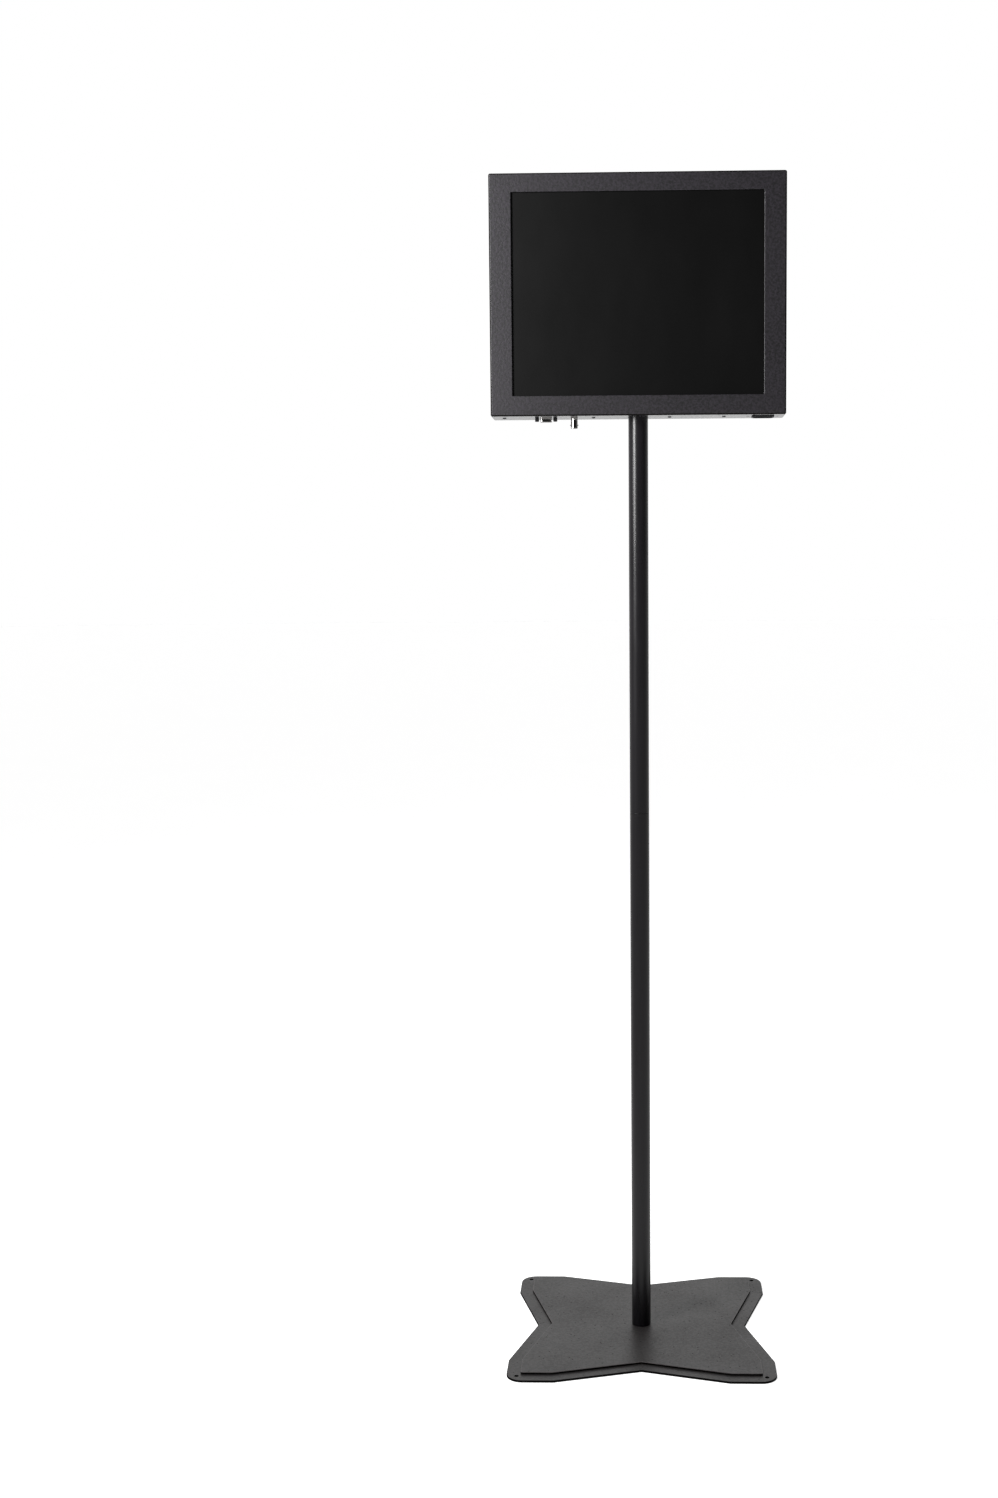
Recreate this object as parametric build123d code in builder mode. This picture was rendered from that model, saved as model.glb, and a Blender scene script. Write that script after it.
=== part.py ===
from build123d import *
import os

# Touchscreen kiosk: two star-shaped steel floor plates, a round pole in two plug-together
# sections and a folded steel screen head that turns on the pole's top end.
# Millimetres, +Z up. The origin is on the pole's axis at floor level and the screen faces -Y.
# Heights inside the head are counted from its underside and raised by HEAD_Z.

# ---- floor plates ----
PLATE_SIDE = 364.0        # side of the square that the lower plate is cut from
PLATE_T = 3.0             # thickness of either plate
PLATE_CORNER_R = 22.0
NOTCH_FROM_CORNER = 64.0  # where each side's shallow V starts
NOTCH_DEPTH = 34.0        # how far the V runs in at mid-side
PLATE_STEP = 19.0         # rim of the lower plate left showing around the upper one
FLOOR_HOLE_R = 2.75
FLOOR_HOLE_PITCH = 336.0
PLATE_STACK = 2 * PLATE_T

# ---- pole ----
TUBE_R = 13.45
TUBE_WALL = 2.0
BORE_R = TUBE_R - TUBE_WALL
SPIGOT_R = BORE_R - 0.05  # slides in the tube's bore
FOOT_SPIGOT_LEN = 110.0
POLE_JOINT_Z = 744.0      # where the two sections meet
JOINT_SPIGOT_FIXED = 80.0
JOINT_SPIGOT_FREE = 100.0
POLE_TOP = 118.0          # tube's top end, above the head's underside
FOOT_BOLT_R = 5.0
FOOT_BOLT_HEAD_R = 9.5
FOOT_BOLT_LEN = 34.0
GRUB_R = 2.5              # grub screws that hold the pole sections
GRUB_LEN = 4.0
FOOT_GRUB_Z = [PLATE_STACK + 60]
LOWER_FIXED_Z = [POLE_JOINT_Z - 60, POLE_JOINT_Z - 20]
UPPER_GRUB_Z = [POLE_JOINT_Z + 60]
SUNK = 0.3                # grub screws' ends below the tube's surface
TIP_GAP = 0.1
PLUG_LEN, PLUG_WALL = 18.0, 1.5

# ---- head casing ----
HEAD_Z = 1289.0
HEAD_END_Z = HEAD_Z + POLE_TOP
CASING_W = 400.0
CASING_H = 322.0
CASING_D = 55.0
SHEET = 1.5               # folded sheet thickness
FRONT_Y = -32.0           # front face; the tube stands a little behind the casing's middle
BACK_Y = FRONT_Y + CASING_D
BEND_R = 2.5              # outside radius of the folds
OPENING_W = 340.0
OPENING_H = 270.0
OPENING_MID = 162.0       # height of the opening's middle
OPENING_R = 1.0
FLANGE = 12.0             # turned-in lip that the rear cover screws to
COVER_GAP = 0.3
TUBE_HOLE_R = 14.0
PORT_Y = FRONT_Y + 27.5   # line of the connectors along the underside
HALF_W = CASING_W / 2
INNER_W = HALF_W - SHEET
VENT_FIELDS = [(x, z) for x in (-105.0, 105.0) for z in (62.0, 262.0)]
VENT_PITCH, VENT_COUNT = 7.0, 18
VENT_W, VENT_LEN = 3.2, 40.0

# ---- screws ----
CLEAR = 0.2               # gap around a shank or a shell in sheet metal
M3_R, M4_R = 1.5, 2.0
M3_KEY_R, M4_KEY_R = 1.1, 1.4
COVER_HEAD_R = 2.8
TRAY_HEAD_R, TRAY_HEAD_H = 2.6, 0.9
M4_HEAD_R = 3.6
FLUSH_HEAD_R = 2.9
COVER_SCREWS = [(x, z) for x in (-191.0, 0.0, 191.0) for z in (9.0, CASING_H - 9.0)]
COVER_SCREWS += [(x, z) for x in (-191.0, 191.0) for z in (110.0, 212.0)]

# ---- screen stack, front to back ----
GASKET_T = 1.5
GASKET_BACK = 2.0         # gasket's inner edge, outside the opening's edge
GLASS_W, GLASS_H, GLASS_T = 360.0, 292.0, 3.0
SPACER_T = 1.0
PANEL_W, PANEL_H, PANEL_T = 358.5, 296.5, 8.5
ACTIVE_W, ACTIVE_H = 337.9, 270.3
CELL_T, CELL_RIM = 2.0, 3.0
GLASS_Y = FRONT_Y + SHEET + GASKET_T
SPACER_Y = GLASS_Y + GLASS_T
PANEL_Y = SPACER_Y + SPACER_T
PANEL_BACK = PANEL_Y + PANEL_T
BRACKET_T = 2.0
TRAY_T = 1.5
TRAY_Y = PANEL_BACK + BRACKET_T
BOARD_Y = TRAY_Y + TRAY_T
STANDOFF = 6.0
PCB_T = 1.6
PCB_Y = BOARD_Y + STANDOFF
PCB_BACK = PCB_Y + PCB_T
STANDOFF_FLAT = 5.5
BOARD_HEAD_R, BOARD_HEAD_H = 2.6, 1.8
BRACKET_INNER, BRACKET_OUTER = 173.0, 196.0
BRACKET_Z = (16.0, 308.0)
TRAY_EDGE, TRAY_TOP = 19.0, 306.0
TRAY_LOW_LEFT, TRAY_LOW_RIGHT = 24.0, 44.0
FOOT_W, FOOT_DEEP = 14.0, 16.0
FOOT_TOP = SHEET + TRAY_T
PILLAR_FLAT = 7.0
PILLAR_LEN = PANEL_BACK - FRONT_Y - SHEET
PILLAR_X = 189.5
PILLAR_HEIGHTS = (30.0, 117.0, 207.0, 294.0)

# ---- circuit boards: limits across and up, and the (across, up, height) of the blocks on each ----
BOARDS = {
    "computer_board": ((-190, -22), (62, 228), [
        ((-178, -130), (64, 80), 14), ((-120, -70), (64, 80), 12), ((-60, -30), (64, 78), 10),
        ((-180, -172), (100, 215), 8), ((-60, -50), (120, 220), 9)]),
    "power_supply": ((52, 178), (52, 126), [
        ((70, 100), (66, 112), 20), ((110, 138), (70, 108), 22), ((146, 158), (60, 118), 16)]),
    "display_driver": ((48, 168), (140, 210), [((62, 90), (160, 188), 4), ((110, 150), (144, 154), 8)]),
    "touch_controller": ((60, 130), (226, 270), [((80, 98), (238, 256), 3)]),
}
SINK_X, SINK_Z = (-150, -90), (130, 190)
SINK_BASE_T, SINK_FINS, SINK_FIN_T, SINK_FIN_H = 4.0, 9, 1.6, 16.0
DRIVE_X, DRIVE_Z = (-170, -70), (234, 304)
DRIVE_T, DRIVE_CORNER_R = 9.5, 3.0

# ---- socket that takes the pole ----
LINER_R = 14.3
LINER_BORE_R = TUBE_R + 0.05
SOCKET_R = 16.0
SOCKET_TOP = 126.0
SOCKET_CAP_T = 4.0
SOCKET_FLANGE_X, SOCKET_FLANGE_Y, SOCKET_FLANGE_T = 27.0, (-24.0, 20.0), 5.0
LINER_SLIT = 3.0
THRUST_T = 2.0
CLAMP_HEIGHTS = (40.0, 95.0)
CLAMP_BOSS_R = 6.5
CLAMP_BOSS_Y = 19.5
CLAMP_SCREW_R = 3.0
CLAMP_LEN = CLAMP_BOSS_Y - 0.5 - TUBE_R - TIP_GAP
ACCESS_HOLE_R = 4.5

# ---- connectors on the underside ----
SERVICE_X = -126.0
ANTENNA_X = -87.5
INLET_X = 170.0
TRAY_FEET = (-183.0, -61.0, 43.0, 117.0)

# ---- nine-way service port ----
SHELL_W, SHELL_DEEP, SHELL_DROP = 17.0, 8.4, 5.8
SHELL_T, SHELL_TAPER, SHELL_CORNER_R = 0.6, 1.5, 2.2
SHELL_FLANGE_W, SHELL_FLANGE_DEEP = 30.8, 12.4
INSERT_BACK = 0.4         # insert's face behind the shell's rim
INSERT_TOP = 12.5
CONTACT_PITCH, CONTACT_ROWS, CONTACT_R = 2.77, 2.84, 0.55
JACK_PITCH = 25.0         # two jack screws
JACK_HEX, JACK_DROP, JACK_BORE_R = 4.75, 5.0, 1.2
PORT_BOARD_X = (-150.0, -72.0)
PORT_TOP = INSERT_TOP + PCB_T

# ---- coaxial jack ----
ANTENNA_R, ANTENNA_BORE_R, ANTENNA_DROP = 4.8, 4.05, 14.6
ANTENNA_HOLE_R = 4.9
ANTENNA_NUT_R, ANTENNA_NUT_T = 6.5, 4.0
LUG_R, LUG_REACH, LUG_UP = 1.0, 5.6, 4.2
SLEEVE_R, CENTRE_R = 2.4, 1.1
CONTACT_BACK = 3.0        # insulating sleeve behind the jack's rim

# ---- mains inlet ----
INLET_W, INLET_DEEP, INLET_H = 30.0, 20.0, 25.5
INLET_CORNER = 3.5        # its two cut corners
INLET_PROUD = 2.0
INLET_WALL, CAVITY_H = 2.0, 18.5
INLET_FLANGE_W, INLET_FLANGE_T = 50.0, 3.0
INLET_PITCH = 40.0        # its two screws
PIN_W, PIN_T, PIN_LEN, PIN_TAIL = 4.0, 2.0, 16.5, 4.5
PIN_SPOTS = ((-7, -2), (7, -2), (0, 2))

os.makedirs("parts", exist_ok=True)


def save(builder, node):
    """Label a finished piece and write it as one STEP file."""
    builder.part.label = node
    export_step(builder.part, f"parts/{node}.step")


def level(z):
    """The height z above the head's underside, in the kiosk's frame."""
    return HEAD_Z + z


def head_block(x, y, z, mode=Mode.ADD):
    """A box between (low, high) limits, with z counted from the head's underside."""
    with Locations(((x[0] + x[1]) / 2, (y[0] + y[1]) / 2, level((z[0] + z[1]) / 2))):
        Box(x[1] - x[0], y[1] - y[0], z[1] - z[0], mode=mode)


def across(y):
    """Plane at depth y that faces the visitor; its local axes are +X and +Z."""
    return Plane.XZ.offset(-y)


def facing_back(x, y, z):
    """Place where a fastener's head points to the rear."""
    return Location((x, y, level(z)), (-90, 0, 0))


def facing_down(x, y, z):
    """Place where a fastener's head points to the floor."""
    return Location((x, y, level(z)), (180, 0, 0))


def star_outline(inset):
    """Square with a shallow V in each side, drawn in the current sketch."""
    half = PLATE_SIDE / 2
    shoulder = half - NOTCH_FROM_CORNER
    side = [Vector(-half, -half), Vector(-shoulder, -half), Vector(0, NOTCH_DEPTH - half),
            Vector(shoulder, -half)]
    points = [point.rotate(Axis.Z, 90 * turn) for turn in range(4) for point in side]
    Polygon(*points, align=None)
    is_corner = [v for v in vertices() if abs(v.X) > half - 1 and abs(v.Y) > half - 1]
    fillet(is_corner, PLATE_CORNER_R)
    if inset:
        offset(amount=-inset, kind=Kind.INTERSECTION, mode=Mode.REPLACE)


def screw(radius, length, head_r, head_h, hex_r):
    """A cap screw on +Z: its shank runs down from z = 0 and its head stands above, with a hex recess."""
    with BuildPart() as piece:
        Cylinder(radius, length, align=(Align.CENTER, Align.CENTER, Align.MAX))
        Cylinder(head_r, head_h, align=(Align.CENTER, Align.CENTER, Align.MIN))
        fillet(piece.edges().sort_by(Axis.Z)[-1], head_h * 0.35)
        with BuildSketch(Plane.XY.offset(head_h)):
            RegularPolygon(hex_r, 6)
        extrude(amount=-head_h * 0.6, mode=Mode.SUBTRACT)
    return piece.part


def flush_screw(radius, length, head_r):
    """A countersunk screw on +Z with its flat head level with z = 0."""
    with BuildPart() as piece:
        Cylinder(radius, length, align=(Align.CENTER, Align.CENTER, Align.MAX))
        cone_depth = head_r - radius
        with Locations((0, 0, -cone_depth / 2)):
            Cone(radius, head_r, cone_depth)
        with BuildSketch(Plane.XY):
            RegularPolygon(radius * 0.7, 6)
        extrude(amount=-radius, mode=Mode.SUBTRACT)
    return piece.part


def grub_screw(radius, length):
    """A headless screw on +Z from z = 0 down, with a hex recess in its outer end."""
    with BuildPart() as piece:
        Cylinder(radius, length, align=(Align.CENTER, Align.CENTER, Align.MAX))
        with BuildSketch(Plane.XY):
            RegularPolygon(radius * 0.55, 6)
        extrude(amount=-length * 0.4, mode=Mode.SUBTRACT)
    return piece.part


def scatter(node, piece, places):
    """One node that holds the same piece at every place, as separate solids."""
    with BuildPart() as group:
        with Locations(*places):
            add(piece)
    save(group, node)


# ==== base ====

with BuildPart() as base_plate:
    with BuildSketch():
        star_outline(0)
        with GridLocations(FLOOR_HOLE_PITCH, FLOOR_HOLE_PITCH, 2, 2):
            Circle(FLOOR_HOLE_R, mode=Mode.SUBTRACT)
        Circle(FOOT_BOLT_R, mode=Mode.SUBTRACT)
    extrude(amount=PLATE_T)
    Cone(FOOT_BOLT_HEAD_R, FOOT_BOLT_R, FOOT_BOLT_HEAD_R - FOOT_BOLT_R,
         align=(Align.CENTER, Align.CENTER, Align.MIN), mode=Mode.SUBTRACT)
save(base_plate, "base_plate")

with BuildPart() as base_top_plate:
    with BuildSketch(Plane.XY.offset(PLATE_T)):
        star_outline(PLATE_STEP)
        Circle(FOOT_BOLT_R, mode=Mode.SUBTRACT)
    extrude(amount=PLATE_T)
    Cone(FOOT_BOLT_HEAD_R, FOOT_BOLT_R, FOOT_BOLT_HEAD_R - FOOT_BOLT_R,
         align=(Align.CENTER, Align.CENTER, Align.MIN), mode=Mode.SUBTRACT)
save(base_top_plate, "base_top_plate")

with BuildPart() as foot_spigot:
    with BuildSketch(Plane.XY.offset(PLATE_STACK)):
        Circle(SPIGOT_R)
    extrude(amount=FOOT_SPIGOT_LEN)
    chamfer(foot_spigot.edges().sort_by(Axis.Z)[-1], 2)
    with Locations((0, 0, PLATE_STACK)):
        Cylinder(FOOT_BOLT_R, 2 * (FOOT_BOLT_LEN - PLATE_STACK + 2), mode=Mode.SUBTRACT)
save(foot_spigot, "foot_spigot")

foot_bolt = flush_screw(FOOT_BOLT_R, FOOT_BOLT_LEN, FOOT_BOLT_HEAD_R)
scatter("foot_bolt", foot_bolt, [Location((0, 0, 0), (180, 0, 0))])


# ==== pole ====

def tube(low, high, grub_heights):
    """A length of the pole's tube, tapped at the back for its grub screws."""
    with BuildPart() as piece:
        with BuildSketch(Plane.XY.offset(low)):
            Circle(TUBE_R)
            Circle(BORE_R, mode=Mode.SUBTRACT)
        extrude(amount=high - low)
        for height in grub_heights:
            with Locations(Location((0, TUBE_R, height), (-90, 0, 0))):
                Cylinder(GRUB_R, 2 * TUBE_WALL + 2, mode=Mode.SUBTRACT)
    return piece


def grub_places(heights, depth):
    """Places of grub screws in the tube's back, sunk by depth."""
    return [Location((0, TUBE_R - depth, height), (-90, 0, 0)) for height in heights]


lower_tube = tube(PLATE_STACK, POLE_JOINT_Z, FOOT_GRUB_Z + LOWER_FIXED_Z)
save(lower_tube, "lower_tube")
upper_tube = tube(POLE_JOINT_Z, HEAD_END_Z, UPPER_GRUB_Z)
save(upper_tube, "upper_tube")

with BuildPart() as joint_spigot:
    with BuildSketch(Plane.XY.offset(POLE_JOINT_Z - JOINT_SPIGOT_FIXED)):
        Circle(BORE_R)
    extrude(amount=JOINT_SPIGOT_FIXED)
    with BuildSketch(Plane.XY.offset(POLE_JOINT_Z)):
        Circle(SPIGOT_R)
    extrude(amount=JOINT_SPIGOT_FREE)
    chamfer(joint_spigot.edges().sort_by(Axis.Z)[-1], 2)
    for height in LOWER_FIXED_Z:
        with Locations(Location((0, BORE_R, height), (-90, 0, 0))):
            Cylinder(GRUB_R, 10, mode=Mode.SUBTRACT)
save(joint_spigot, "joint_spigot")

slack_grub = grub_screw(GRUB_R, TUBE_WALL - SUNK - TIP_GAP)
fixed_grub = grub_screw(GRUB_R, GRUB_LEN + TUBE_WALL)
scatter("foot_grub_screw", slack_grub, grub_places(FOOT_GRUB_Z, SUNK))
scatter("spigot_grub_screws", fixed_grub, grub_places(LOWER_FIXED_Z, SUNK))
scatter("joint_grub_screw", slack_grub, grub_places(UPPER_GRUB_Z, SUNK))

with BuildPart() as tube_plug:
    with BuildSketch(Plane.XY.offset(HEAD_END_Z)):
        Circle(TUBE_R)
    extrude(amount=SOCKET_TOP - SOCKET_CAP_T - THRUST_T - POLE_TOP - 0.05)
    with BuildSketch(Plane.XY.offset(HEAD_END_Z - PLUG_LEN)):
        Circle(BORE_R)
        Circle(BORE_R - PLUG_WALL, mode=Mode.SUBTRACT)
    extrude(amount=PLUG_LEN)
save(tube_plug, "tube_plug")


# ==== head: casing ====

def inlet_outline(grow=0.0):
    """The mains inlet's six-sided nose; its two cut corners are towards the back."""
    w, d, cut = INLET_W / 2 + grow, INLET_DEEP / 2 + grow, INLET_CORNER
    Polygon((-w, -d), (w, -d), (w, d - cut), (w - cut, d), (cut - w, d), (-w, d - cut), align=None)


def shell_outline(grow=0.0):
    """The service port's D-shaped shell, as a sketch of its own."""
    w, d = SHELL_W / 2 + grow, SHELL_DEEP / 2 + grow
    with BuildSketch() as outline:
        Polygon((SHELL_TAPER - w, -d), (w - SHELL_TAPER, -d), (w, d), (-w, d), align=None)
        fillet(outline.vertices(), SHELL_CORNER_R)
    return outline.sketch


shell_hole = shell_outline(CLEAR)

with BuildPart() as front_casing:
    with BuildSketch(across(FRONT_Y)):
        with Locations((0, level(CASING_H / 2))):
            Rectangle(CASING_W, CASING_H)
            fillet(vertices(), BEND_R)
    extrude(amount=-CASING_D)
    fillet(front_casing.faces().sort_by(Axis.Y)[0].edges(), BEND_R)
    head_block((-INNER_W, INNER_W), (FRONT_Y + SHEET, BACK_Y), (SHEET, CASING_H - SHEET), Mode.SUBTRACT)
    lip_y = (BACK_Y - 2 * SHEET, BACK_Y - SHEET)
    head_block((-INNER_W, INNER_W), lip_y, (SHEET, CASING_H - SHEET))
    head_block((FLANGE - INNER_W, INNER_W - FLANGE), lip_y,
               (SHEET + FLANGE, CASING_H - SHEET - FLANGE), Mode.SUBTRACT)
    with BuildSketch(across(FRONT_Y)):
        with Locations((0, level(OPENING_MID))):
            RectangleRounded(OPENING_W, OPENING_H, OPENING_R)
    extrude(amount=-SHEET, mode=Mode.SUBTRACT)
    with BuildSketch(Plane.XY.offset(HEAD_Z)):
        Circle(TUBE_HOLE_R)
        with Locations((INLET_X, PORT_Y)):
            inlet_outline(CLEAR)
        with Locations((SERVICE_X, PORT_Y)):
            add(shell_hole)
            with GridLocations(JACK_PITCH, 1, 2, 1):
                Circle(M3_R + CLEAR)
        with Locations((ANTENNA_X, PORT_Y)):
            Circle(ANTENNA_HOLE_R)
        with Locations([(x, PORT_Y) for x in TRAY_FEET]):
            Circle(M3_R + CLEAR / 2)
    extrude(amount=SHEET, mode=Mode.SUBTRACT)
    for side in (-1, 1):
        with Locations((INLET_X + side * INLET_PITCH / 2, PORT_Y, HEAD_Z + SHEET / 2)):
            Cone(2 * M3_R, M3_R, SHEET, mode=Mode.SUBTRACT)
    with BuildSketch(across(BACK_Y)):
        with Locations([(x, level(z)) for x, z in COVER_SCREWS]):
            Circle(M3_R + CLEAR / 2)
    extrude(amount=2 * SHEET, mode=Mode.SUBTRACT)
save(front_casing, "front_casing")

with BuildPart() as rear_cover:
    with BuildSketch(across(BACK_Y)):
        with Locations((0, level(CASING_H / 2))):
            margin = 2 * (SHEET + COVER_GAP)
            RectangleRounded(CASING_W - margin, CASING_H - margin, 1.5)
        with Locations([(x, level(z)) for x, z in VENT_FIELDS]):
            with GridLocations(VENT_PITCH, 1, VENT_COUNT, 1):
                SlotOverall(VENT_LEN, VENT_W, rotation=90, mode=Mode.SUBTRACT)
        with Locations([(x, level(z)) for x, z in COVER_SCREWS]):
            Circle(M3_R + CLEAR, mode=Mode.SUBTRACT)
        with Locations([(0, level(z)) for z in CLAMP_HEIGHTS]):
            Circle(ACCESS_HOLE_R, mode=Mode.SUBTRACT)
    extrude(amount=SHEET)
save(rear_cover, "rear_cover")

cover_screw = screw(M3_R, 6.0, COVER_HEAD_R, 1.7, M3_KEY_R)
scatter("cover_screws", cover_screw, [facing_back(x, BACK_Y, z) for x, z in COVER_SCREWS])

with BuildPart() as access_plugs:
    with Locations([facing_back(0, BACK_Y, z) for z in CLAMP_HEIGHTS]):
        Cylinder(ACCESS_HOLE_R, SHEET, align=(Align.CENTER, Align.CENTER, Align.MAX))
        Cylinder(ACCESS_HOLE_R + 1.5, 1.2, align=(Align.CENTER, Align.CENTER, Align.MIN))
save(access_plugs, "access_plugs")


# ==== head: screen stack ====

def layer(node, y, thickness, outer, inner=None):
    """A flat rectangular layer behind the opening, or a frame where it has an inner size."""
    with BuildPart() as piece:
        with BuildSketch(across(y)):
            with Locations((0, level(OPENING_MID))):
                RectangleRounded(*outer, 1.5)
                if inner:
                    Rectangle(*inner, mode=Mode.SUBTRACT)
        extrude(amount=-thickness)
    save(piece, node)


gasket_inner = (OPENING_W + 2 * GASKET_BACK, OPENING_H + 2 * GASKET_BACK)
cell_size = (ACTIVE_W + CELL_RIM, ACTIVE_H + CELL_RIM)
layer("glass_gasket", FRONT_Y + SHEET, GASKET_T, (GLASS_W, GLASS_H), gasket_inner)
layer("touch_glass", GLASS_Y, GLASS_T, (GLASS_W, GLASS_H))
layer("glass_spacer", SPACER_Y, SPACER_T, (PANEL_W, GLASS_H), (cell_size[0] + 1, cell_size[1] + 1))
layer("screen_cell", PANEL_Y, CELL_T, cell_size)

with BuildPart() as screen_frame:
    with BuildSketch(across(PANEL_Y)):
        with Locations((0, level(OPENING_MID))):
            Rectangle(PANEL_W, PANEL_H)
    extrude(amount=-PANEL_T)
    with BuildSketch(across(PANEL_Y)):
        with Locations((0, level(OPENING_MID))):
            Rectangle(*cell_size)
    extrude(amount=-CELL_T, mode=Mode.SUBTRACT)
save(screen_frame, "screen_frame")

pillar_spots = [(side * PILLAR_X, z) for side in (-1, 1) for z in PILLAR_HEIGHTS]
with BuildPart() as casing_pillars:
    with BuildSketch(across(FRONT_Y + SHEET)):
        with Locations([(x, level(z)) for x, z in pillar_spots]):
            RegularPolygon(PILLAR_FLAT / 2, 6, major_radius=False)
    extrude(amount=-PILLAR_LEN)
    with BuildSketch(across(PANEL_BACK)):
        with Locations([(x, level(z)) for x, z in pillar_spots]):
            Circle(M4_R)
    extrude(amount=10.0, mode=Mode.SUBTRACT)
save(casing_pillars, "casing_pillars")

for name, side in (("left", -1), ("right", 1)):
    with BuildPart() as bracket:
        edges_x = sorted((side * BRACKET_INNER, side * BRACKET_OUTER))
        head_block(edges_x, (PANEL_BACK, TRAY_Y), BRACKET_Z)
        with BuildSketch(across(PANEL_BACK)):
            with Locations([(side * PILLAR_X, level(z)) for z in PILLAR_HEIGHTS]):
                Circle(M4_R + CLEAR)
        extrude(amount=-BRACKET_T, mode=Mode.SUBTRACT)
    save(bracket, f"screen_bracket_{name}")

m4_screw = screw(M4_R, 9.0, M4_HEAD_R, 2.2, M4_KEY_R)
scatter("bracket_screws", m4_screw, [facing_back(x, BOARD_Y, z) for x, z in pillar_spots])


# ==== head: equipment trays ====

def tray(side, feet, low):
    """A flat tray behind one half of the screen, on feet folded back over the casing's floor."""
    with BuildPart() as piece:
        head_block(sorted((side * TRAY_EDGE, side * BRACKET_OUTER)), (TRAY_Y, BOARD_Y), (low, TRAY_TOP))
        for x in feet:
            head_block((x - FOOT_W / 2, x + FOOT_W / 2), (TRAY_Y, BOARD_Y), (SHEET, low))
            head_block((x - FOOT_W / 2, x + FOOT_W / 2), (TRAY_Y, BOARD_Y + FOOT_DEEP), (SHEET, FOOT_TOP))
            with Locations((x, PORT_Y, level(SHEET))):
                Cylinder(M3_R, 4 * TRAY_T, mode=Mode.SUBTRACT)
        with BuildSketch(across(TRAY_Y)):
            with Locations([(side * PILLAR_X, level(z)) for z in PILLAR_HEIGHTS]):
                Circle(M4_R + CLEAR)
        extrude(amount=-TRAY_T, mode=Mode.SUBTRACT)
    return piece


save(tray(-1, TRAY_FEET[:2], TRAY_LOW_LEFT), "equipment_tray_left")
save(tray(1, TRAY_FEET[2:], TRAY_LOW_RIGHT), "equipment_tray_right")
tray_screw = screw(M3_R - 0.02, 5.0, TRAY_HEAD_R, TRAY_HEAD_H, M3_KEY_R)
scatter("tray_screws", tray_screw, [facing_down(x, PORT_Y, 0) for x in TRAY_FEET])


# ==== head: socket for the pole ====

with BuildPart() as pole_socket:
    head_block((-SOCKET_FLANGE_X, SOCKET_FLANGE_X), SOCKET_FLANGE_Y, (SHEET, SHEET + SOCKET_FLANGE_T))
    with BuildSketch(Plane.XY.offset(level(SHEET))):
        Circle(SOCKET_R)
    extrude(amount=SOCKET_TOP - SHEET)
    for height in CLAMP_HEIGHTS:
        with Locations(facing_back(0, CLAMP_BOSS_Y, height)):
            Cylinder(CLAMP_BOSS_R, CLAMP_BOSS_Y, align=(Align.CENTER, Align.CENTER, Align.MAX))
    with BuildSketch(Plane.XY.offset(level(SHEET))):
        Circle(LINER_R)
    extrude(amount=SOCKET_TOP - SOCKET_CAP_T - SHEET, mode=Mode.SUBTRACT)
    for height in CLAMP_HEIGHTS:
        with Locations(facing_back(0, CLAMP_BOSS_Y, height)):
            Cylinder(CLAMP_SCREW_R, CLAMP_BOSS_Y, align=(Align.CENTER, Align.CENTER, Align.MAX),
                     mode=Mode.SUBTRACT)
save(pole_socket, "pole_socket")

with BuildPart() as socket_liner:
    with BuildSketch(Plane.XY.offset(level(SHEET + 1))):
        Circle(LINER_R)
        Circle(LINER_BORE_R, mode=Mode.SUBTRACT)
        with Locations((LINER_R, 0)):
            Rectangle(4, LINER_SLIT, mode=Mode.SUBTRACT)
    extrude(amount=SOCKET_TOP - SOCKET_CAP_T - THRUST_T - SHEET - 2)
    for height in CLAMP_HEIGHTS:
        with Locations(facing_back(0, CLAMP_BOSS_Y, height)):
            Cylinder(CLAMP_SCREW_R + CLEAR, CLAMP_BOSS_Y, mode=Mode.SUBTRACT,
                     align=(Align.CENTER, Align.CENTER, Align.MAX))
save(socket_liner, "socket_liner")

with BuildPart() as thrust_pad:
    with BuildSketch(Plane.XY.offset(level(SOCKET_TOP - SOCKET_CAP_T - THRUST_T))):
        Circle(LINER_R)
    extrude(amount=THRUST_T)
save(thrust_pad, "thrust_pad")

clamp_screw = grub_screw(CLAMP_SCREW_R, CLAMP_LEN)
scatter("clamp_screws", clamp_screw, [facing_back(0, CLAMP_BOSS_Y - 0.5, z) for z in CLAMP_HEIGHTS])


# ==== head: boards ====

def board(node, x, z, parts_on_it):
    """A circuit board on the tray with plain blocks for what is soldered to it."""
    with BuildPart() as piece:
        head_block(x, (PCB_Y, PCB_BACK), z)
        for block_x, block_z, height in parts_on_it:
            head_block(block_x, (PCB_BACK, PCB_BACK + height), block_z)
    save(piece, node)


def corners(x, z, inset=5.0):
    """The four fixing places of a board."""
    return [(a, b) for a in (x[0] + inset, x[1] - inset) for b in (z[0] + inset, z[1] - inset)]


for name, (board_x, board_z, blocks) in BOARDS.items():
    board(name, board_x, board_z, blocks)

with BuildPart() as heat_sink:
    fin_y = PCB_BACK + SINK_BASE_T
    head_block(SINK_X, (PCB_BACK, fin_y), SINK_Z)
    for fin in range(SINK_FINS):
        x = SINK_X[0] + 1 + fin * (SINK_X[1] - SINK_X[0] - 3) / (SINK_FINS - 1)
        head_block((x, x + SINK_FIN_T), (fin_y, fin_y + SINK_FIN_H), SINK_Z)
save(heat_sink, "heat_sink")

with BuildPart() as storage_drive:
    head_block(DRIVE_X, (BOARD_Y, BOARD_Y + DRIVE_T), DRIVE_Z)
    fillet(storage_drive.edges().filter_by(Axis.Y), DRIVE_CORNER_R)
save(storage_drive, "storage_drive")

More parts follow.
